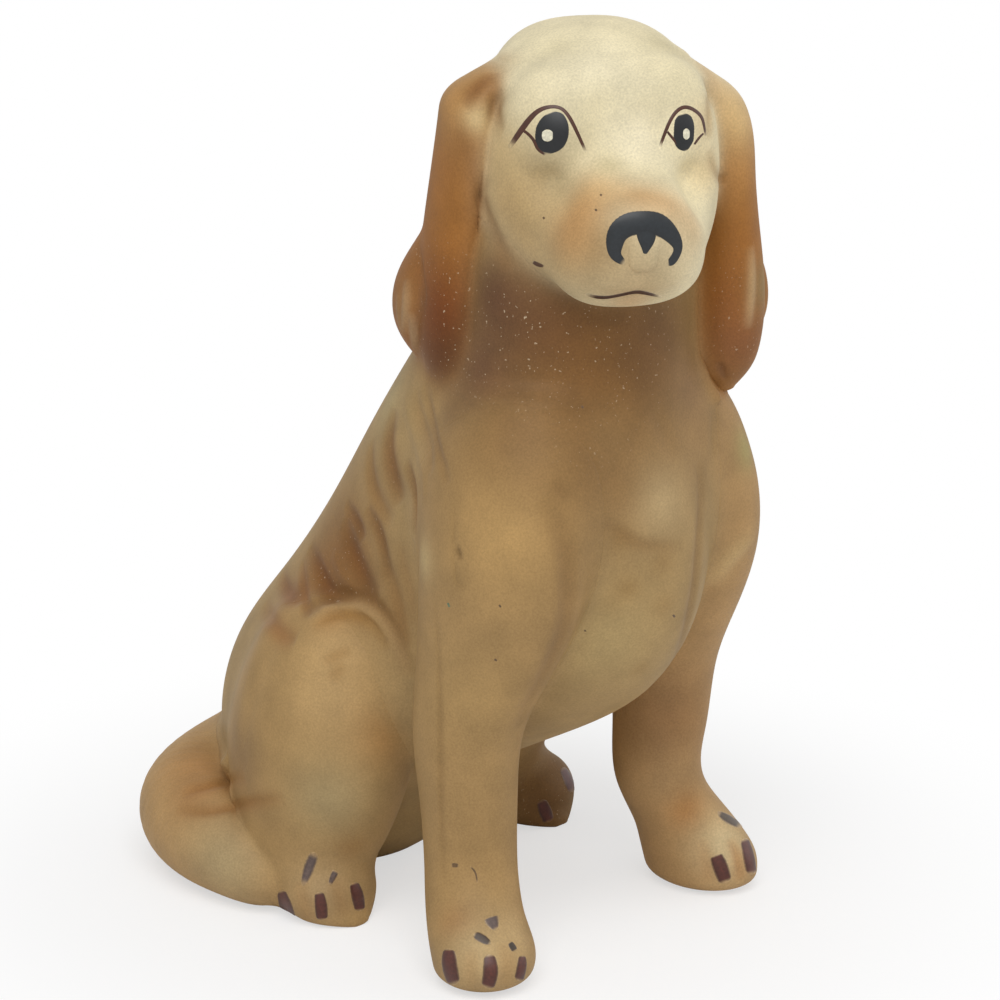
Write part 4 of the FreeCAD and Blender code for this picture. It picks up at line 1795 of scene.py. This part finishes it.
@dataclass(frozen=True)
class Decoration:
    """Grooves and patches of colour, by their places in the photograph's frame: most patches are airbrushed
    colour, and a few are painted highlights and painted shade.

    A groove's row: its places, depth and width in mm, the colour along it and its strength.
    A patch's row: its colour, its place, its radius in mm, its strength and the casting it keeps to.
    """

    grooves: tuple[GrooveRow, ...] = (
        (((474, 946), (470, 960), (471, 976), (474, 992)), 0.4, 1.1, "#9a7346", 0.35),
        (((503, 942), (507, 958), (506, 974), (502, 990)), 0.4, 1.1, "#9a7346", 0.35),
        (((298, 880), (302, 896), (306, 910), (308, 924)), 0.4, 1.1, "#9a7346", 0.4),
        (((334, 876), (339, 890), (342, 904), (343, 918)), 0.4, 1.1, "#9a7346", 0.4),
        (((728, 838), (736, 852), (740, 868), (741, 882)), 0.6, 0.9, "#a8713a", 0.6),
        (((700, 838), (705, 856), (708, 872), (709, 884)), 0.35, 1.0, "#a8713a", 0.3),
        (((415, 391), (421, 419), (429, 445), (431, 474)), 0.55, 1.0, "#8a6a42", 0.5),
        (((424, 386), (431, 412), (436, 438), (442, 462), (448, 484)), 0.6, 0.9, "#80603a", 0.6),
        (((432, 390), (435, 415), (440, 440), (445, 462)), -0.3, 0.8, None, 0.0),
        (((404, 392), (410, 420), (418, 446), (424, 480), (422, 510)), -0.35, 1.2, None, 0.0),
        (((396, 408), (388, 445), (394, 480), (401, 503)), 1.0, 1.7, "#6f441b", 0.8),
        (((406, 462), (412, 482), (415, 503), (414, 535)), 0.9, 1.1, "#744a20", 0.75),
        (((372, 440), (370, 470), (378, 500), (392, 522)), 0.8, 1.5, "#7f5526", 0.6),
        (((346, 505), (357, 522), (363, 540)), 0.9, 1.0, "#6c421a", 0.8),
        (((366, 508), (376, 525), (383, 548), (388, 580)), 1.0, 0.95, "#6a4018", 0.8),
        (((344, 520), (352, 548), (364, 578), (376, 600)), 1.0, 1.8, "#693e14", 0.85),
        (((333, 552), (343, 575), (359, 599)), -0.35, 1.2, None, 0.0),
        (((309, 548), (318, 566), (328, 588), (336, 602)), 1.0, 1.25, "#70410f", 0.9),
        (((302, 562), (304, 592), (310, 616)), 0.8, 0.8, "#7a4b1c", 0.75),
        (((281, 574), (287, 590), (300, 604)), 0.9, 1.15, "#7a481a", 0.85),
        (((264, 604), (271, 620), (284, 636), (296, 640)), 0.9, 1.3, "#8a5a2c", 0.7),
        (((384, 560), (394, 590), (400, 620), (408, 648)), 0.7, 1.4, "#7f5728", 0.6),
        (((400, 540), (405, 570), (412, 600), (414, 630)), 0.35, 1.2, "#8a6336", 0.35),
        (((300, 612), (322, 601), (345, 596), (368, 602), (385, 618), (399, 645), (411, 678)),
         1.1, 1.5, "#714a1c", 0.75),
        (((309, 622), (326, 610), (342, 606), (358, 607), (374, 617), (390, 638), (406, 671)),
         -0.5, 0.9, "#b99a6c", 0.6),
        (((312, 628), (329, 618), (345, 614), (362, 617), (377, 629), (388, 650)),
         0.5, 0.8, "#93692f", 0.6),
        (((322, 663), (336, 656), (352, 649)), 0.25, 0.8, "#94703f", 0.5),
        (((332, 683), (337, 673), (345, 664)), 0.2, 0.8, "#94703f", 0.4),
        (((182, 793), (210, 786), (246, 778)), 0.5, 1.1, "#94642f", 0.6),
        (((176, 809), (203, 811), (237, 806), (285, 797)), 0.6, 1.0, "#8f6230", 0.7),
        (((546, 498), (558, 528), (566, 549), (568, 577), (566, 620), (553, 658), (533, 697),
          (517, 730)), 0.9, 1.6, "#7c5c36", 0.55),
        (((553, 482), (560, 490), (569, 501)), 0.35, 0.8, "#7c5e38", 0.5),
        (((603, 524), (625, 536), (645, 545), (684, 546)), 0.35, 0.8, "#85653c", 0.6),
        (((652, 408), (665, 436), (676, 462)), 0.3, 1.8, "#84663f", 0.4),
        (((697, 462), (701, 493), (700, 526), (696, 577), (688, 620), (675, 658), (647, 691)),
         0.7, 1.2, "#7c5c36", 0.55),
        (((716, 400), (714, 430), (713, 460)), 0.35, 0.9, "#8a7048", 0.4),
        (((755, 537), (732, 556), (708, 586)), -0.4, 1.4, "#c6aa78", 0.5),
        (((418, 242), (421, 266), (424, 294), (421, 312), (416, 333), (418, 359)),
         0.5, 0.8, "#7a5434", 0.6),
        (((407, 278), (405, 311), (404, 333)), -0.4, 0.7, "#b39a76", 0.5),
        (((411, 312), (413, 333), (415, 352)), -0.4, 0.6, "#b39a76", 0.5),
        (((398, 292), (399, 318), (404, 338)), -0.25, 0.7, "#a58a64", 0.4),
        (((491, 72), (480, 84), (472, 94), (463, 108)), 0.5, 1.2, "#70441c", 0.7),
        (((491, 74), (495, 96), (497, 114), (503, 133)), 0.45, 1.1, "#80562a", 0.6),
        (((466, 146), (475, 180), (488, 216), (501, 246), (511, 270)), 0.4, 1.3, "#7d552c", 0.5),
        (((706, 78), (710, 112), (709, 140)), 0.4, 1.0, "#9a7440", 0.5),
        (((708, 150), (717, 174), (725, 182)), 0.25, 0.8, "#8f6a3c", 0.5),
        (((751, 245), (752, 285), (748, 330)), -0.35, 0.7, "#c2a67c", 0.6),
        (((718, 362), (722, 370), (726, 380)), 0.3, 0.6, "#6d4a30", 0.6),
        (((436, 600), (440, 700), (441, 800), (445, 888)), 0.12, 0.5, "#86683e", 0.5),
        (((455, 501), (455, 571), (467, 588)), 0.12, 0.5, "#8a6d42", 0.4),
        (((456, 546), (459, 552), (461, 560)), 0.3, 0.35, "#5f4626", 0.8),
    )
    sprays_and_painted_light: tuple[SprayAndPaintedLightRow, ...] = (
        ("#917a4d", (522, 200), 13, 0.82, Casting.HEAD),
        ("#a3875a", (560, 262), 8, 0.7, Casting.HEAD),
        # The muzzle's side, partly its own darker colour and partly painted shade, then painted shade under
        # the lips
        ("#9c8258", (600, 252), 7, 0.78, Casting.HEAD),
        ("#9f8458", (640, 284), 7.5, 0.8, Casting.HEAD),
        ("#d6c9a0", (620, 110), 13, 0.6, Casting.HEAD),
        ("#b99a6a", (502, 195), 8, 0.7, Casting.HEAD),
        ("#bd9a66", (520, 248), 6.5, 0.6, Casting.HEAD),
        ("#c8ab78", (500, 150), 5, 0.6, Casting.HEAD),
        ("#c1894a", (583, 208), 5.5, 0.6, Casting.HEAD),
        ("#c08d52", (572, 236), 5, 0.5, Casting.HEAD),
        ("#c58f50", (640, 196), 4.5, 0.55, Casting.HEAD),
        ("#c39055", (668, 204), 4, 0.45, Casting.HEAD),
        ("#c9a066", (600, 188), 4.5, 0.4, Casting.HEAD),
        ("#c79d68", (692, 226), 5, 0.45, Casting.HEAD),
        ("#c8ad7e", (704, 120), 3.5, 0.5, Casting.HEAD),
        ("#c9ab78", (708, 170), 4, 0.5, Casting.HEAD),
        ("#a99c70", (560, 50), 4.5, 0.3, Casting.HEAD),
        ("#b0a276", (668, 46), 4.5, 0.3, Casting.HEAD),
        ("#9c8c58", (612, 163), 2.4, 0.4, Casting.HEAD),
        ("#a89a6a", (603, 98), 4, 0.3, Casting.HEAD),
        ("#b3a47a", (655, 115), 3, 0.3, Casting.HEAD),
        # Painted highlights on the forehead and on the bridge of the muzzle
        ("#f0e8d0", (600, 72), 9, 0.32, Casting.HEAD),
        ("#f2e8cc", (640, 140), 6, 0.5, Casting.HEAD),
        ("#dcc39a", (640, 280), 6, 0.32, Casting.HEAD),
        ("#d7b184", (629, 302), 3, 0.6, Casting.HEAD),
        ("#b8945c", (470, 66), 9, 0.75, Casting.RIGHT_EAR),
        ("#bd935c", (455, 110), 6, 0.5, Casting.RIGHT_EAR),
        ("#d0b888", (478, 119), 2.8, 0.8, None),
        ("#80562c", (463, 142), 2.6, 0.5, Casting.RIGHT_EAR),
        ("#a06a2e", (440, 215), 9, 0.6, Casting.RIGHT_EAR),
        ("#6c340e", (442, 315), 10, 0.87, Casting.RIGHT_EAR),
        ("#50290f", (448, 366), 8, 0.9, Casting.RIGHT_EAR),
        ("#9a7448", (404, 300), 5, 0.5, Casting.RIGHT_EAR),
        ("#e0cda4", (722, 78), 8, 0.95, Casting.LEFT_EAR),
        ("#d2b27c", (740, 118), 7, 0.75, Casting.LEFT_EAR),
        ("#c08c50", (738, 175), 6, 0.5, Casting.LEFT_EAR),
        ("#99632a", (735, 235), 9, 0.7, Casting.LEFT_EAR),
        ("#8b5322", (735, 300), 9, 0.8, Casting.LEFT_EAR),
        ("#80502f", (740, 345), 7, 0.8, Casting.LEFT_EAR),
        ("#8f7a4c", (763, 285), 4.5, 0.7, Casting.LEFT_EAR),
        # The neck's dark brown, deepened with painted shade under the head
        ("#6b431a", (560, 345), 15, 0.92, Casting.TORSO),
        ("#745028", (640, 345), 14, 0.87, Casting.TORSO),
        ("#735027", (560, 435), 15, 0.85, None),
        ("#836239", (625, 475), 12, 0.72, Casting.TORSO),
        ("#8f6e46", (700, 430), 10, 0.6, None),
        # Painted shade under the right ear and under the jaw
        ("#5c3d28", (497, 300), 8, 0.9, Casting.TORSO),
        ("#68462b", (548, 325), 8, 0.6, Casting.TORSO),
        ("#664630", (478, 370), 8, 0.85, Casting.TORSO),
        ("#7b552b", (603, 350), 10, 0.6, Casting.TORSO),
        ("#755330", (655, 340), 9, 0.6, Casting.TORSO),
        ("#8a6948", (692, 378), 6, 0.6, Casting.TORSO),
        ("#86653c", (530, 405), 7, 0.5, None),
        # Painted shade under the tip of the right ear
        ("#7f6038", (455, 408), 4.5, 0.6, None),
        ("#b39a70", (660, 504), 6.5, 0.8, Casting.TORSO),
        ("#84673f", (609, 436), 5.5, 0.5, Casting.TORSO),
        ("#8c6b40", (617, 490), 5.5, 0.55, Casting.TORSO),
        ("#94754a", (552, 455), 6, 0.4, None),
        ("#8a6a3c", (620, 538), 2.4, 0.5, Casting.TORSO),
        ("#8f6f42", (663, 562), 2.4, 0.45, Casting.TORSO),
        ("#846336", (627, 590), 2.2, 0.6, Casting.TORSO),
        ("#8f6f42", (612, 606), 2.2, 0.4, Casting.TORSO),
        ("#8f6f42", (663, 606), 2.4, 0.45, Casting.TORSO),
        ("#8f7042", (640, 669), 1.8, 0.5, Casting.TORSO),
        ("#b7a06e", (600, 640), 9, 0.5, Casting.TORSO),
        ("#94754a", (716, 475), 9, 0.5, Casting.LEFT_FORELEG),
        ("#a8a066", (746, 448), 3.6, 0.6, Casting.LEFT_FORELEG),
        ("#c09b62", (503, 540), 10, 0.55, Casting.RIGHT_FORELEG),
        ("#b0905c", (470, 700), 10, 0.4, Casting.RIGHT_FORELEG),
        ("#c3ad7c", (424, 560), 3.5, 0.5, Casting.RIGHT_FORELEG),
        ("#865729", (456, 925), 3.2, 0.65, Casting.RIGHT_FORELEG),
        ("#b9a075", (478, 956), 7, 0.85, Casting.RIGHT_FORELEG),
        ("#b89c70", (515, 936), 5, 0.7, Casting.RIGHT_FORELEG),
        ("#916c45", (670, 720), 11, 0.8, Casting.LEFT_FORELEG),
        ("#a2835a", (668, 790), 8, 0.55, Casting.LEFT_FORELEG),
        ("#a8733c", (688, 812), 3.6, 0.7, Casting.LEFT_FORELEG),
        ("#d4bf94", (726, 846), 6, 0.85, Casting.LEFT_FORELEG),
        ("#c6a471", (335, 635), 7, 0.5, Casting.RIGHT_HAUNCH),
        ("#b5834a", (330, 618), 3, 0.4, None),
        ("#c2a271", (330, 700), 9, 0.5, Casting.RIGHT_HAUNCH),
        ("#a0906a", (330, 800), 8, 0.65, Casting.RIGHT_HAUNCH),
        ("#b98850", (385, 735), 5, 0.4, Casting.RIGHT_HAUNCH),
        ("#ab916a", (320, 892), 6.5, 0.8, Casting.RIGHT_HAUNCH),
        ("#8c6a3e", (352, 847), 3, 0.6, Casting.RIGHT_HAUNCH),
        # Painted shade on the left hind foot, which sits in shadow between the forelegs
        ("#6f4d26", (548, 806), 9, 0.9, Casting.LEFT_HAUNCH),
        ("#6f4d26", (568, 772), 8, 0.8, Casting.LEFT_HAUNCH),
        ("#a87540", (200, 765), 7, 0.5, Casting.TAIL),
        ("#ab7a48", (195, 795), 5, 0.5, Casting.TAIL),
        ("#a59773", (225, 862), 9, 0.6, Casting.TAIL),
        # Painted shade in the hollow between the tail, the rump and the right thigh
        ("#7d6040", (240, 765), 8, 0.55, None),
        ("#8f6a38", (213, 748), 5.5, 0.5, Casting.TAIL),
        # A painted highlight on the rump
        ("#e9dcc0", (259, 645), 1.6, 0.8, Casting.TORSO),
        ("#7d501f", (338, 565), 13, 0.8, Casting.TORSO),
        ("#8a5c28", (300, 592), 7, 0.45, Casting.TORSO),
        ("#b0a074", (390, 400), 6, 0.5, Casting.TORSO),
    )
    grounds: tuple[tuple[Casting, str], ...] = (
        (Casting.TORSO, "#a3875a"),
        (Casting.HEAD, "#e2d6b2"),
        (Casting.RIGHT_EAR, "#94622c"),
        (Casting.LEFT_EAR, "#9c6c34"),
        (Casting.RIGHT_FORELEG, "#9e7f52"),
        (Casting.LEFT_FORELEG, "#ab885a"),
        (Casting.RIGHT_HAUNCH, "#a48454"),
        (Casting.LEFT_HAUNCH, "#a08052"),
        (Casting.TAIL, "#ad8b5c"),
    )

    # Patches that the picture doesn't show, by their places in the dog's frame in mm
    behind: tuple[HiddenRow, ...] = (
        ("#a88c5e", (15.0, 19.0, 127.0), 16.0, 0.9, Casting.HEAD),
        ("#b8a273", (14.0, 22.0, 144.0), 13.0, 0.6, Casting.HEAD),
        ("#a88c5e", (-3.0, 24.0, 130.0), 11.0, 0.7, Casting.HEAD),
    )

    flank_out: float = 8.0
    flank_low: float = 38.0
    flank_high: float = 108.0

    def place(self, figure: Figure, picture: Picture) -> None:
        """Brings the grooves and patches to the clay along the picture's rays.

        Those of the right flank and haunch go on the left side too, which the picture doesn't show.

        Args:
            figure: what keeps the grooves and patches.
            picture: the camera whose rays find their places.
        """
        clay = figure.clay
        figure.grounds = dict(self.grounds)
        lines = []
        for spots, *_ in self.grooves:
            knots = np.linspace(0, 1, len(spots))
            lines.append(spline(knots, np.array(spots, float), np.linspace(0, 1, 3 * len(spots))))
        middles = np.array([spot for _, spot, *_ in self.sprays_and_painted_light], float)
        found = picture.seen(np.concatenate([*lines, middles]), clay.whole)
        for line, (_, depth, width, colour, strength) in zip(lines, self.grooves):
            places, found = found[: len(line)], found[len(line) :]
            clay.grooves.append(Groove(places, depth, width, colour, strength))
            if self.on_flank(places):
                clay.grooves.append(Groove(self.mirrored(places, clay.whole), depth, width, colour, strength))
        for middle, (colour, _, radius, strength, casting) in zip(found, self.sprays_and_painted_light):
            figure.sprays_and_painted_light.append(SprayAndPaintedLight(colour, middle, (radius,) * 3, strength, casting))
            if casting is Casting.RIGHT_HAUNCH:
                across = self.mirrored(middle[None], clay.whole)[0]
                figure.sprays_and_painted_light.append(SprayAndPaintedLight(colour, across, (radius,) * 3, strength, Casting.LEFT_HAUNCH))
        for colour, middle, radius, strength, casting in self.behind:
            figure.sprays_and_painted_light.append(SprayAndPaintedLight(colour, np.array(middle), (radius,) * 3, strength, casting))

    def on_flank(self, places: Array) -> bool:
        """Whether a line lies on the right flank, whose like is on the left one out of sight."""
        middle = places.mean(0)
        return middle[0] < -self.flank_out and self.flank_low < middle[2] < self.flank_high and middle[1] > 0

    def mirrored(self, places: Array, field: Field) -> Array:
        """The same places on the dog's other side, brought to the surface down the field's slope.

        Args:
            places: points in the dog's frame.
            field: the clay's field.

        Returns:
            A point for each.
        """
        other = places * np.array([-1.0, 1.0, 1.0])
        for _ in range(SETTLINGS):
            other = other - np.clip(field(other), -2, 2)[:, None] * gradient(field, other)
        return other


@dataclass(frozen=True)
class Enamels:
    """The brush marks: eyes, nose, mouth, claws and specks."""

    black: str = "#0f1113"
    blue_black: str = "#1b2024"
    brown: str = "#43200f"
    lip: str = "#3d2419"
    lip_corner: str = "#4a2c1c"
    # White enamel for the painted highlight in each eye
    white: str = "#d9d4bc"
    claw: str = "#52261b"
    claw_edge: str = "#33190f"
    grey: str = "#5a4a44"
    grey_brown: str = "#4b3c2c"
    dark_brown: str = "#3c2c1c"
    darkest_brown: str = "#33281a"
    dust: str = "#5c4427"
    green_dust: str = "#5a6a4c"

    def eyes(self) -> tuple[Stroke, ...]:
        """Iris, painted highlight and lids of both eyes.

        Returns:
            The strokes, lowest first.
        """
        iris = Brush(self.black, self.black, 0.1, 0.05, 0.3)
        # A painted highlight: a dot of white enamel on each iris
        painted_highlight = Brush(self.white, self.white, 0.15, 0.09, 0.6)
        lid = Brush(self.brown, self.brown, 0.16, 0.06, 0.04)
        lower_lid = Brush(self.brown, self.brown, 0.15, 0.035, 0.1)
        return (
            Stroke("right_iris", ((549, 112.5), (552, 122), (552, 133), (549, 144), (547, 154)),
                   (1.6, 2.85, 3.2, 2.75, 1.2), iris),
            Stroke("right_painted_highlight", ((547.5, 129.5), (547.5, 135.5), (547.5, 141.5)), (0.95, 1.1, 0.95), painted_highlight),
            Stroke("right_lid", ((509, 148), (521, 130.5), (535, 113.5), (549, 107), (562, 109),
                                 (571.5, 121), (579, 136.5), (586.5, 153)),
                   (0.4, 0.56, 0.48, 0.36, 0.33, 0.36, 0.32, 0.28), lid),
            Stroke("right_lower_lid", ((522.5, 130), (528, 134), (534, 141), (538, 149), (546, 155)),
                   (0.28, 0.32, 0.34, 0.32, 0.24), lower_lid),
            Stroke("left_iris", ((682, 113.5), (684, 123), (684, 133), (684, 143), (686.5, 151)),
                   (1.2, 1.85, 1.95, 1.75, 0.6), iris),
            Stroke("left_painted_highlight", ((686.3, 128.5), (686.3, 134), (686.3, 139.5)), (0.55, 0.68, 0.55), painted_highlight),
            Stroke("left_lid", ((659, 149), (665, 133), (672, 117.5), (680.5, 108.5), (690, 108),
                                (699.5, 114.5), (703.8, 124), (706.3, 138)),
                   (0.26, 0.32, 0.34, 0.36, 0.36, 0.32, 0.27, 0.22), lid),
            Stroke("left_lower_lid", ((667, 131), (670, 135), (674, 140), (678, 146)),
                   (0.22, 0.26, 0.26, 0.2), lower_lid),
            Stroke("left_lower_lid_end", ((704, 133), (699, 138), (694, 145)), (0.18, 0.24, 0.2), lower_lid),
        )

    def nose_and_mouth(self) -> tuple[Stroke, ...]:
        """The horseshoe of the nose with its wedge, and the lines of the mouth.

        Returns:
            The strokes, lowest first.
        """
        nose = Brush(self.blue_black, self.black, 0.08, 0.07, 0.05)
        wedge = replace(nose, soft=0.03, lift=0.055, round_share=0.08)
        lips = Brush(self.lip, self.lip, 0.3, 0.12, 0.06)
        corner = Brush(self.lip_corner, self.lip_corner, 0.3, 0.05, 0.3)
        return (
            Stroke("nose", ((625, 263.5), (616.5, 256), (614.5, 246), (618, 233), (629, 224.5), (643, 222.5),
                            (657, 224), (668, 231.5), (675.5, 241), (677.5, 251), (672, 261), (667.5, 263)),
                   (0.5, 1.05, 1.55, 2.0, 2.2, 2.2, 2.15, 1.75, 1.25, 0.8, 0.75, 0.4), nose),
            Stroke("nose_wedge", ((646, 224), (646.5, 238), (646, 247), (645, 254)),
                   (2.1, 1.75, 1.0, 0.3), wedge),
            Stroke("mouth", ((584.5, 294), (598, 297), (612, 296.5), (630, 292.8), (640, 292), (650, 294),
                             (662, 297)), (0.2, 0.34, 0.3, 0.32, 0.38, 0.32, 0.2), lips),
            Stroke("mouth_corner", ((532.5, 261.5), (538, 264.5), (544.5, 266.5)), (0.3, 0.42, 0.2), corner),
        )

    def near_claws(self) -> tuple[Stroke, ...]:
        """The claws of both front paws and of the right hind foot, with the dabs of paint above them.

        Returns:
            The strokes.
        """
        fore = Brush(self.claw, self.claw_edge, 0.22, 0.12, 0.25)
        left_fore, hind = replace(fore, soft=0.25), replace(fore, soft=0.2)
        dab = Brush(self.grey, self.claw_edge, 0.4, 0.1, 0.35)
        brown_dab = Brush(self.dark_brown, self.claw_edge, 0.35, 0.1, 0.4)
        dark_dab = replace(brown_dab, colour=self.darkest_brown)
        left_dab = Brush(self.grey_brown, self.claw_edge, 0.45, 0.1, 0.3)
        hind_dab = replace(left_dab, colour=self.grey)
        return (
            Stroke("right_fore_claw_1", ((449, 948.5), (449, 958), (450.5, 970), (454.5, 985)),
                   (0.9, 1.35, 1.4, 1.15), fore),
            Stroke("right_fore_claw_2", ((489, 954), (490.5, 966), (490, 977), (487, 988)),
                   (0.9, 1.35, 1.4, 1.2), fore),
            Stroke("right_fore_claw_3", ((522, 955.5), (521.8, 966), (518.5, 981)), (0.6, 0.9, 0.85), fore),
            Stroke("right_fore_spot_1", ((490.5, 916.5), (492.5, 922), (496, 930.5)), (1.3, 1.25, 0.45), dab),
            Stroke("right_fore_spot_2", ((473.5, 934), (482, 938.5), (491, 944)), (0.6, 0.85, 0.4),
                   brown_dab),
            Stroke("right_fore_spot_3", ((509.5, 942), (512.5, 946.5), (515, 951)), (0.4, 0.62, 0.5),
                   dark_dab),
            Stroke("left_fore_claw_1", ((715.5, 854.5), (720, 866), (726, 883)), (1.1, 1.45, 1.2), left_fore),
            Stroke("left_fore_claw_2", ((744, 838.5), (748.5, 855), (752, 874.5)), (0.75, 1.05, 0.95),
                   left_fore),
            Stroke("left_fore_spot", ((717, 812), (728, 819), (742, 827)), (0.35, 0.85, 0.5), left_dab),
            Stroke("right_hind_claw_1", ((281, 890.5), (285.5, 905), (291, 920)), (0.75, 1.15, 0.95), hind),
            Stroke("right_hind_claw_2", ((319, 892), (321, 906), (322, 920)), (0.8, 1.15, 1.0), hind),
            Stroke("right_hind_claw_3", ((353.5, 882.5), (357.5, 896), (360, 911)), (0.8, 1.15, 0.9), hind),
            Stroke("right_hind_spot_1", ((315, 852), (309, 868), (302.5, 886)), (0.8, 1.05, 0.45), hind_dab),
            Stroke("right_hind_spot_2", ((336, 870.5), (333, 877), (329.5, 885)), (0.6, 0.65, 0.35),
                   hind_dab),
        )

    def specks(self) -> tuple[Stroke, ...]:
        """The fine crack and the stain above the right paw, and single specks of grime.

        Returns:
            The strokes.
        """
        crack = Brush(self.dust, self.dust, 0.4, 0.04, 0.3)
        stain = Brush(self.dust, self.dust, 0.5, 0.04, 0.5)
        grime = Brush(self.dust, self.dust, 0.3, 0.04, 0.5)
        green = Brush(self.green_dust, self.green_dust, 0.3, 0.04, 0.5)
        return (
            Stroke("paw_crack", ((470, 866.5), (475.3, 872.7), (477.3, 883)), (0.14, 0.2, 0.12), crack),
            Stroke("paw_stain", ((451, 865.5), (455, 865.2), (459, 866)), (0.35, 0.5, 0.3), stain),
            Stroke("leg_speck_1", ((494.2, 659), (497.2, 661)), (0.22, 0.2), grime),
            Stroke("leg_speck_2", ((499, 604.5), (501, 607.5)), (0.2, 0.2), grime),
            Stroke("leg_speck_3", ((447.6, 602.5), (449.6, 607.5)), (0.22, 0.2), green),
            Stroke("chest_speck_1", ((673, 614.5), (675, 617.5)), (0.24, 0.22), grime),
            Stroke("chest_speck_2", ((584, 630), (587, 632)), (0.24, 0.22), grime),
            Stroke("chest_speck_3", ((581, 406), (583.8, 408)), (0.24, 0.22), grime),
            Stroke("face_speck_1", ((543, 216.8), (544.6, 219.2)), (0.22, 0.22), grime),
            Stroke("face_speck_2", ((595, 209), (597, 211)), (0.24, 0.24), grime),
            Stroke("face_speck_3", ((600, 194), (602, 196)), (0.22, 0.22), grime),
        )

    def far_claws(self) -> tuple[Stroke, ...]:
        """The claws of the left hind foot, which shows between the forelegs.

        Returns:
            The strokes.
        """
        near = Brush(self.claw, self.claw_edge, 0.3, 0.12, 0.25)
        far = replace(near, soft=0.35)
        return (
            Stroke("left_hind_claw", ((541, 800), (545, 811), (549, 822)), (0.8, 1.2, 1.0), near),
            Stroke("left_hind_claw_2", ((562, 768), (568, 779), (572, 792)), (0.6, 0.9, 0.7), far),
        )

    def marks(self) -> tuple[Stroke, ...]:
        """Every stroke, lowest first."""
        return (*self.eyes(), *self.nose_and_mouth(), *self.near_claws(), *self.specks(), *self.far_claws())


def frame_shift() -> Array:
    """Finds the way from the dog's frame to the row's, from the CAD nodes' boxes.

    Returns:
        The way, in mm.
    """
    right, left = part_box("right_foreleg")[0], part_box("left_foreleg")[1]
    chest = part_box("torso")[0]
    return np.array([(right.x + left.x) / 2 / MM, chest.y / MM + TorsoForm().chest_front, 0.0])


def main() -> None:
    """Builds the castings, the painted details and the stage."""
    logging.basicConfig(level=logging.INFO)
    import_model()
    bpy.context.scene.view_settings.view_transform = "Standard"
    shift = frame_shift()
    log.info("shift %s", shift)
    clay = Clay()
    figure = Figure(clay, shift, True)
    picture = Picture()
    Decoration().place(figure, picture)
    bisque, enamel = Bisque().build(), Enamel().build()
    for casting, form in clay.forms.items():
        figure.cast(casting, form.spine(), bisque)
    for mark in Enamels().marks():
        mark.paint(figure, picture, enamel)
    stage = Stage(picture)
    stage.floor()
    stage.world()
    stage.lamps(shift)
    stage.camera(shift)


if __name__ == "__main__":
    main()
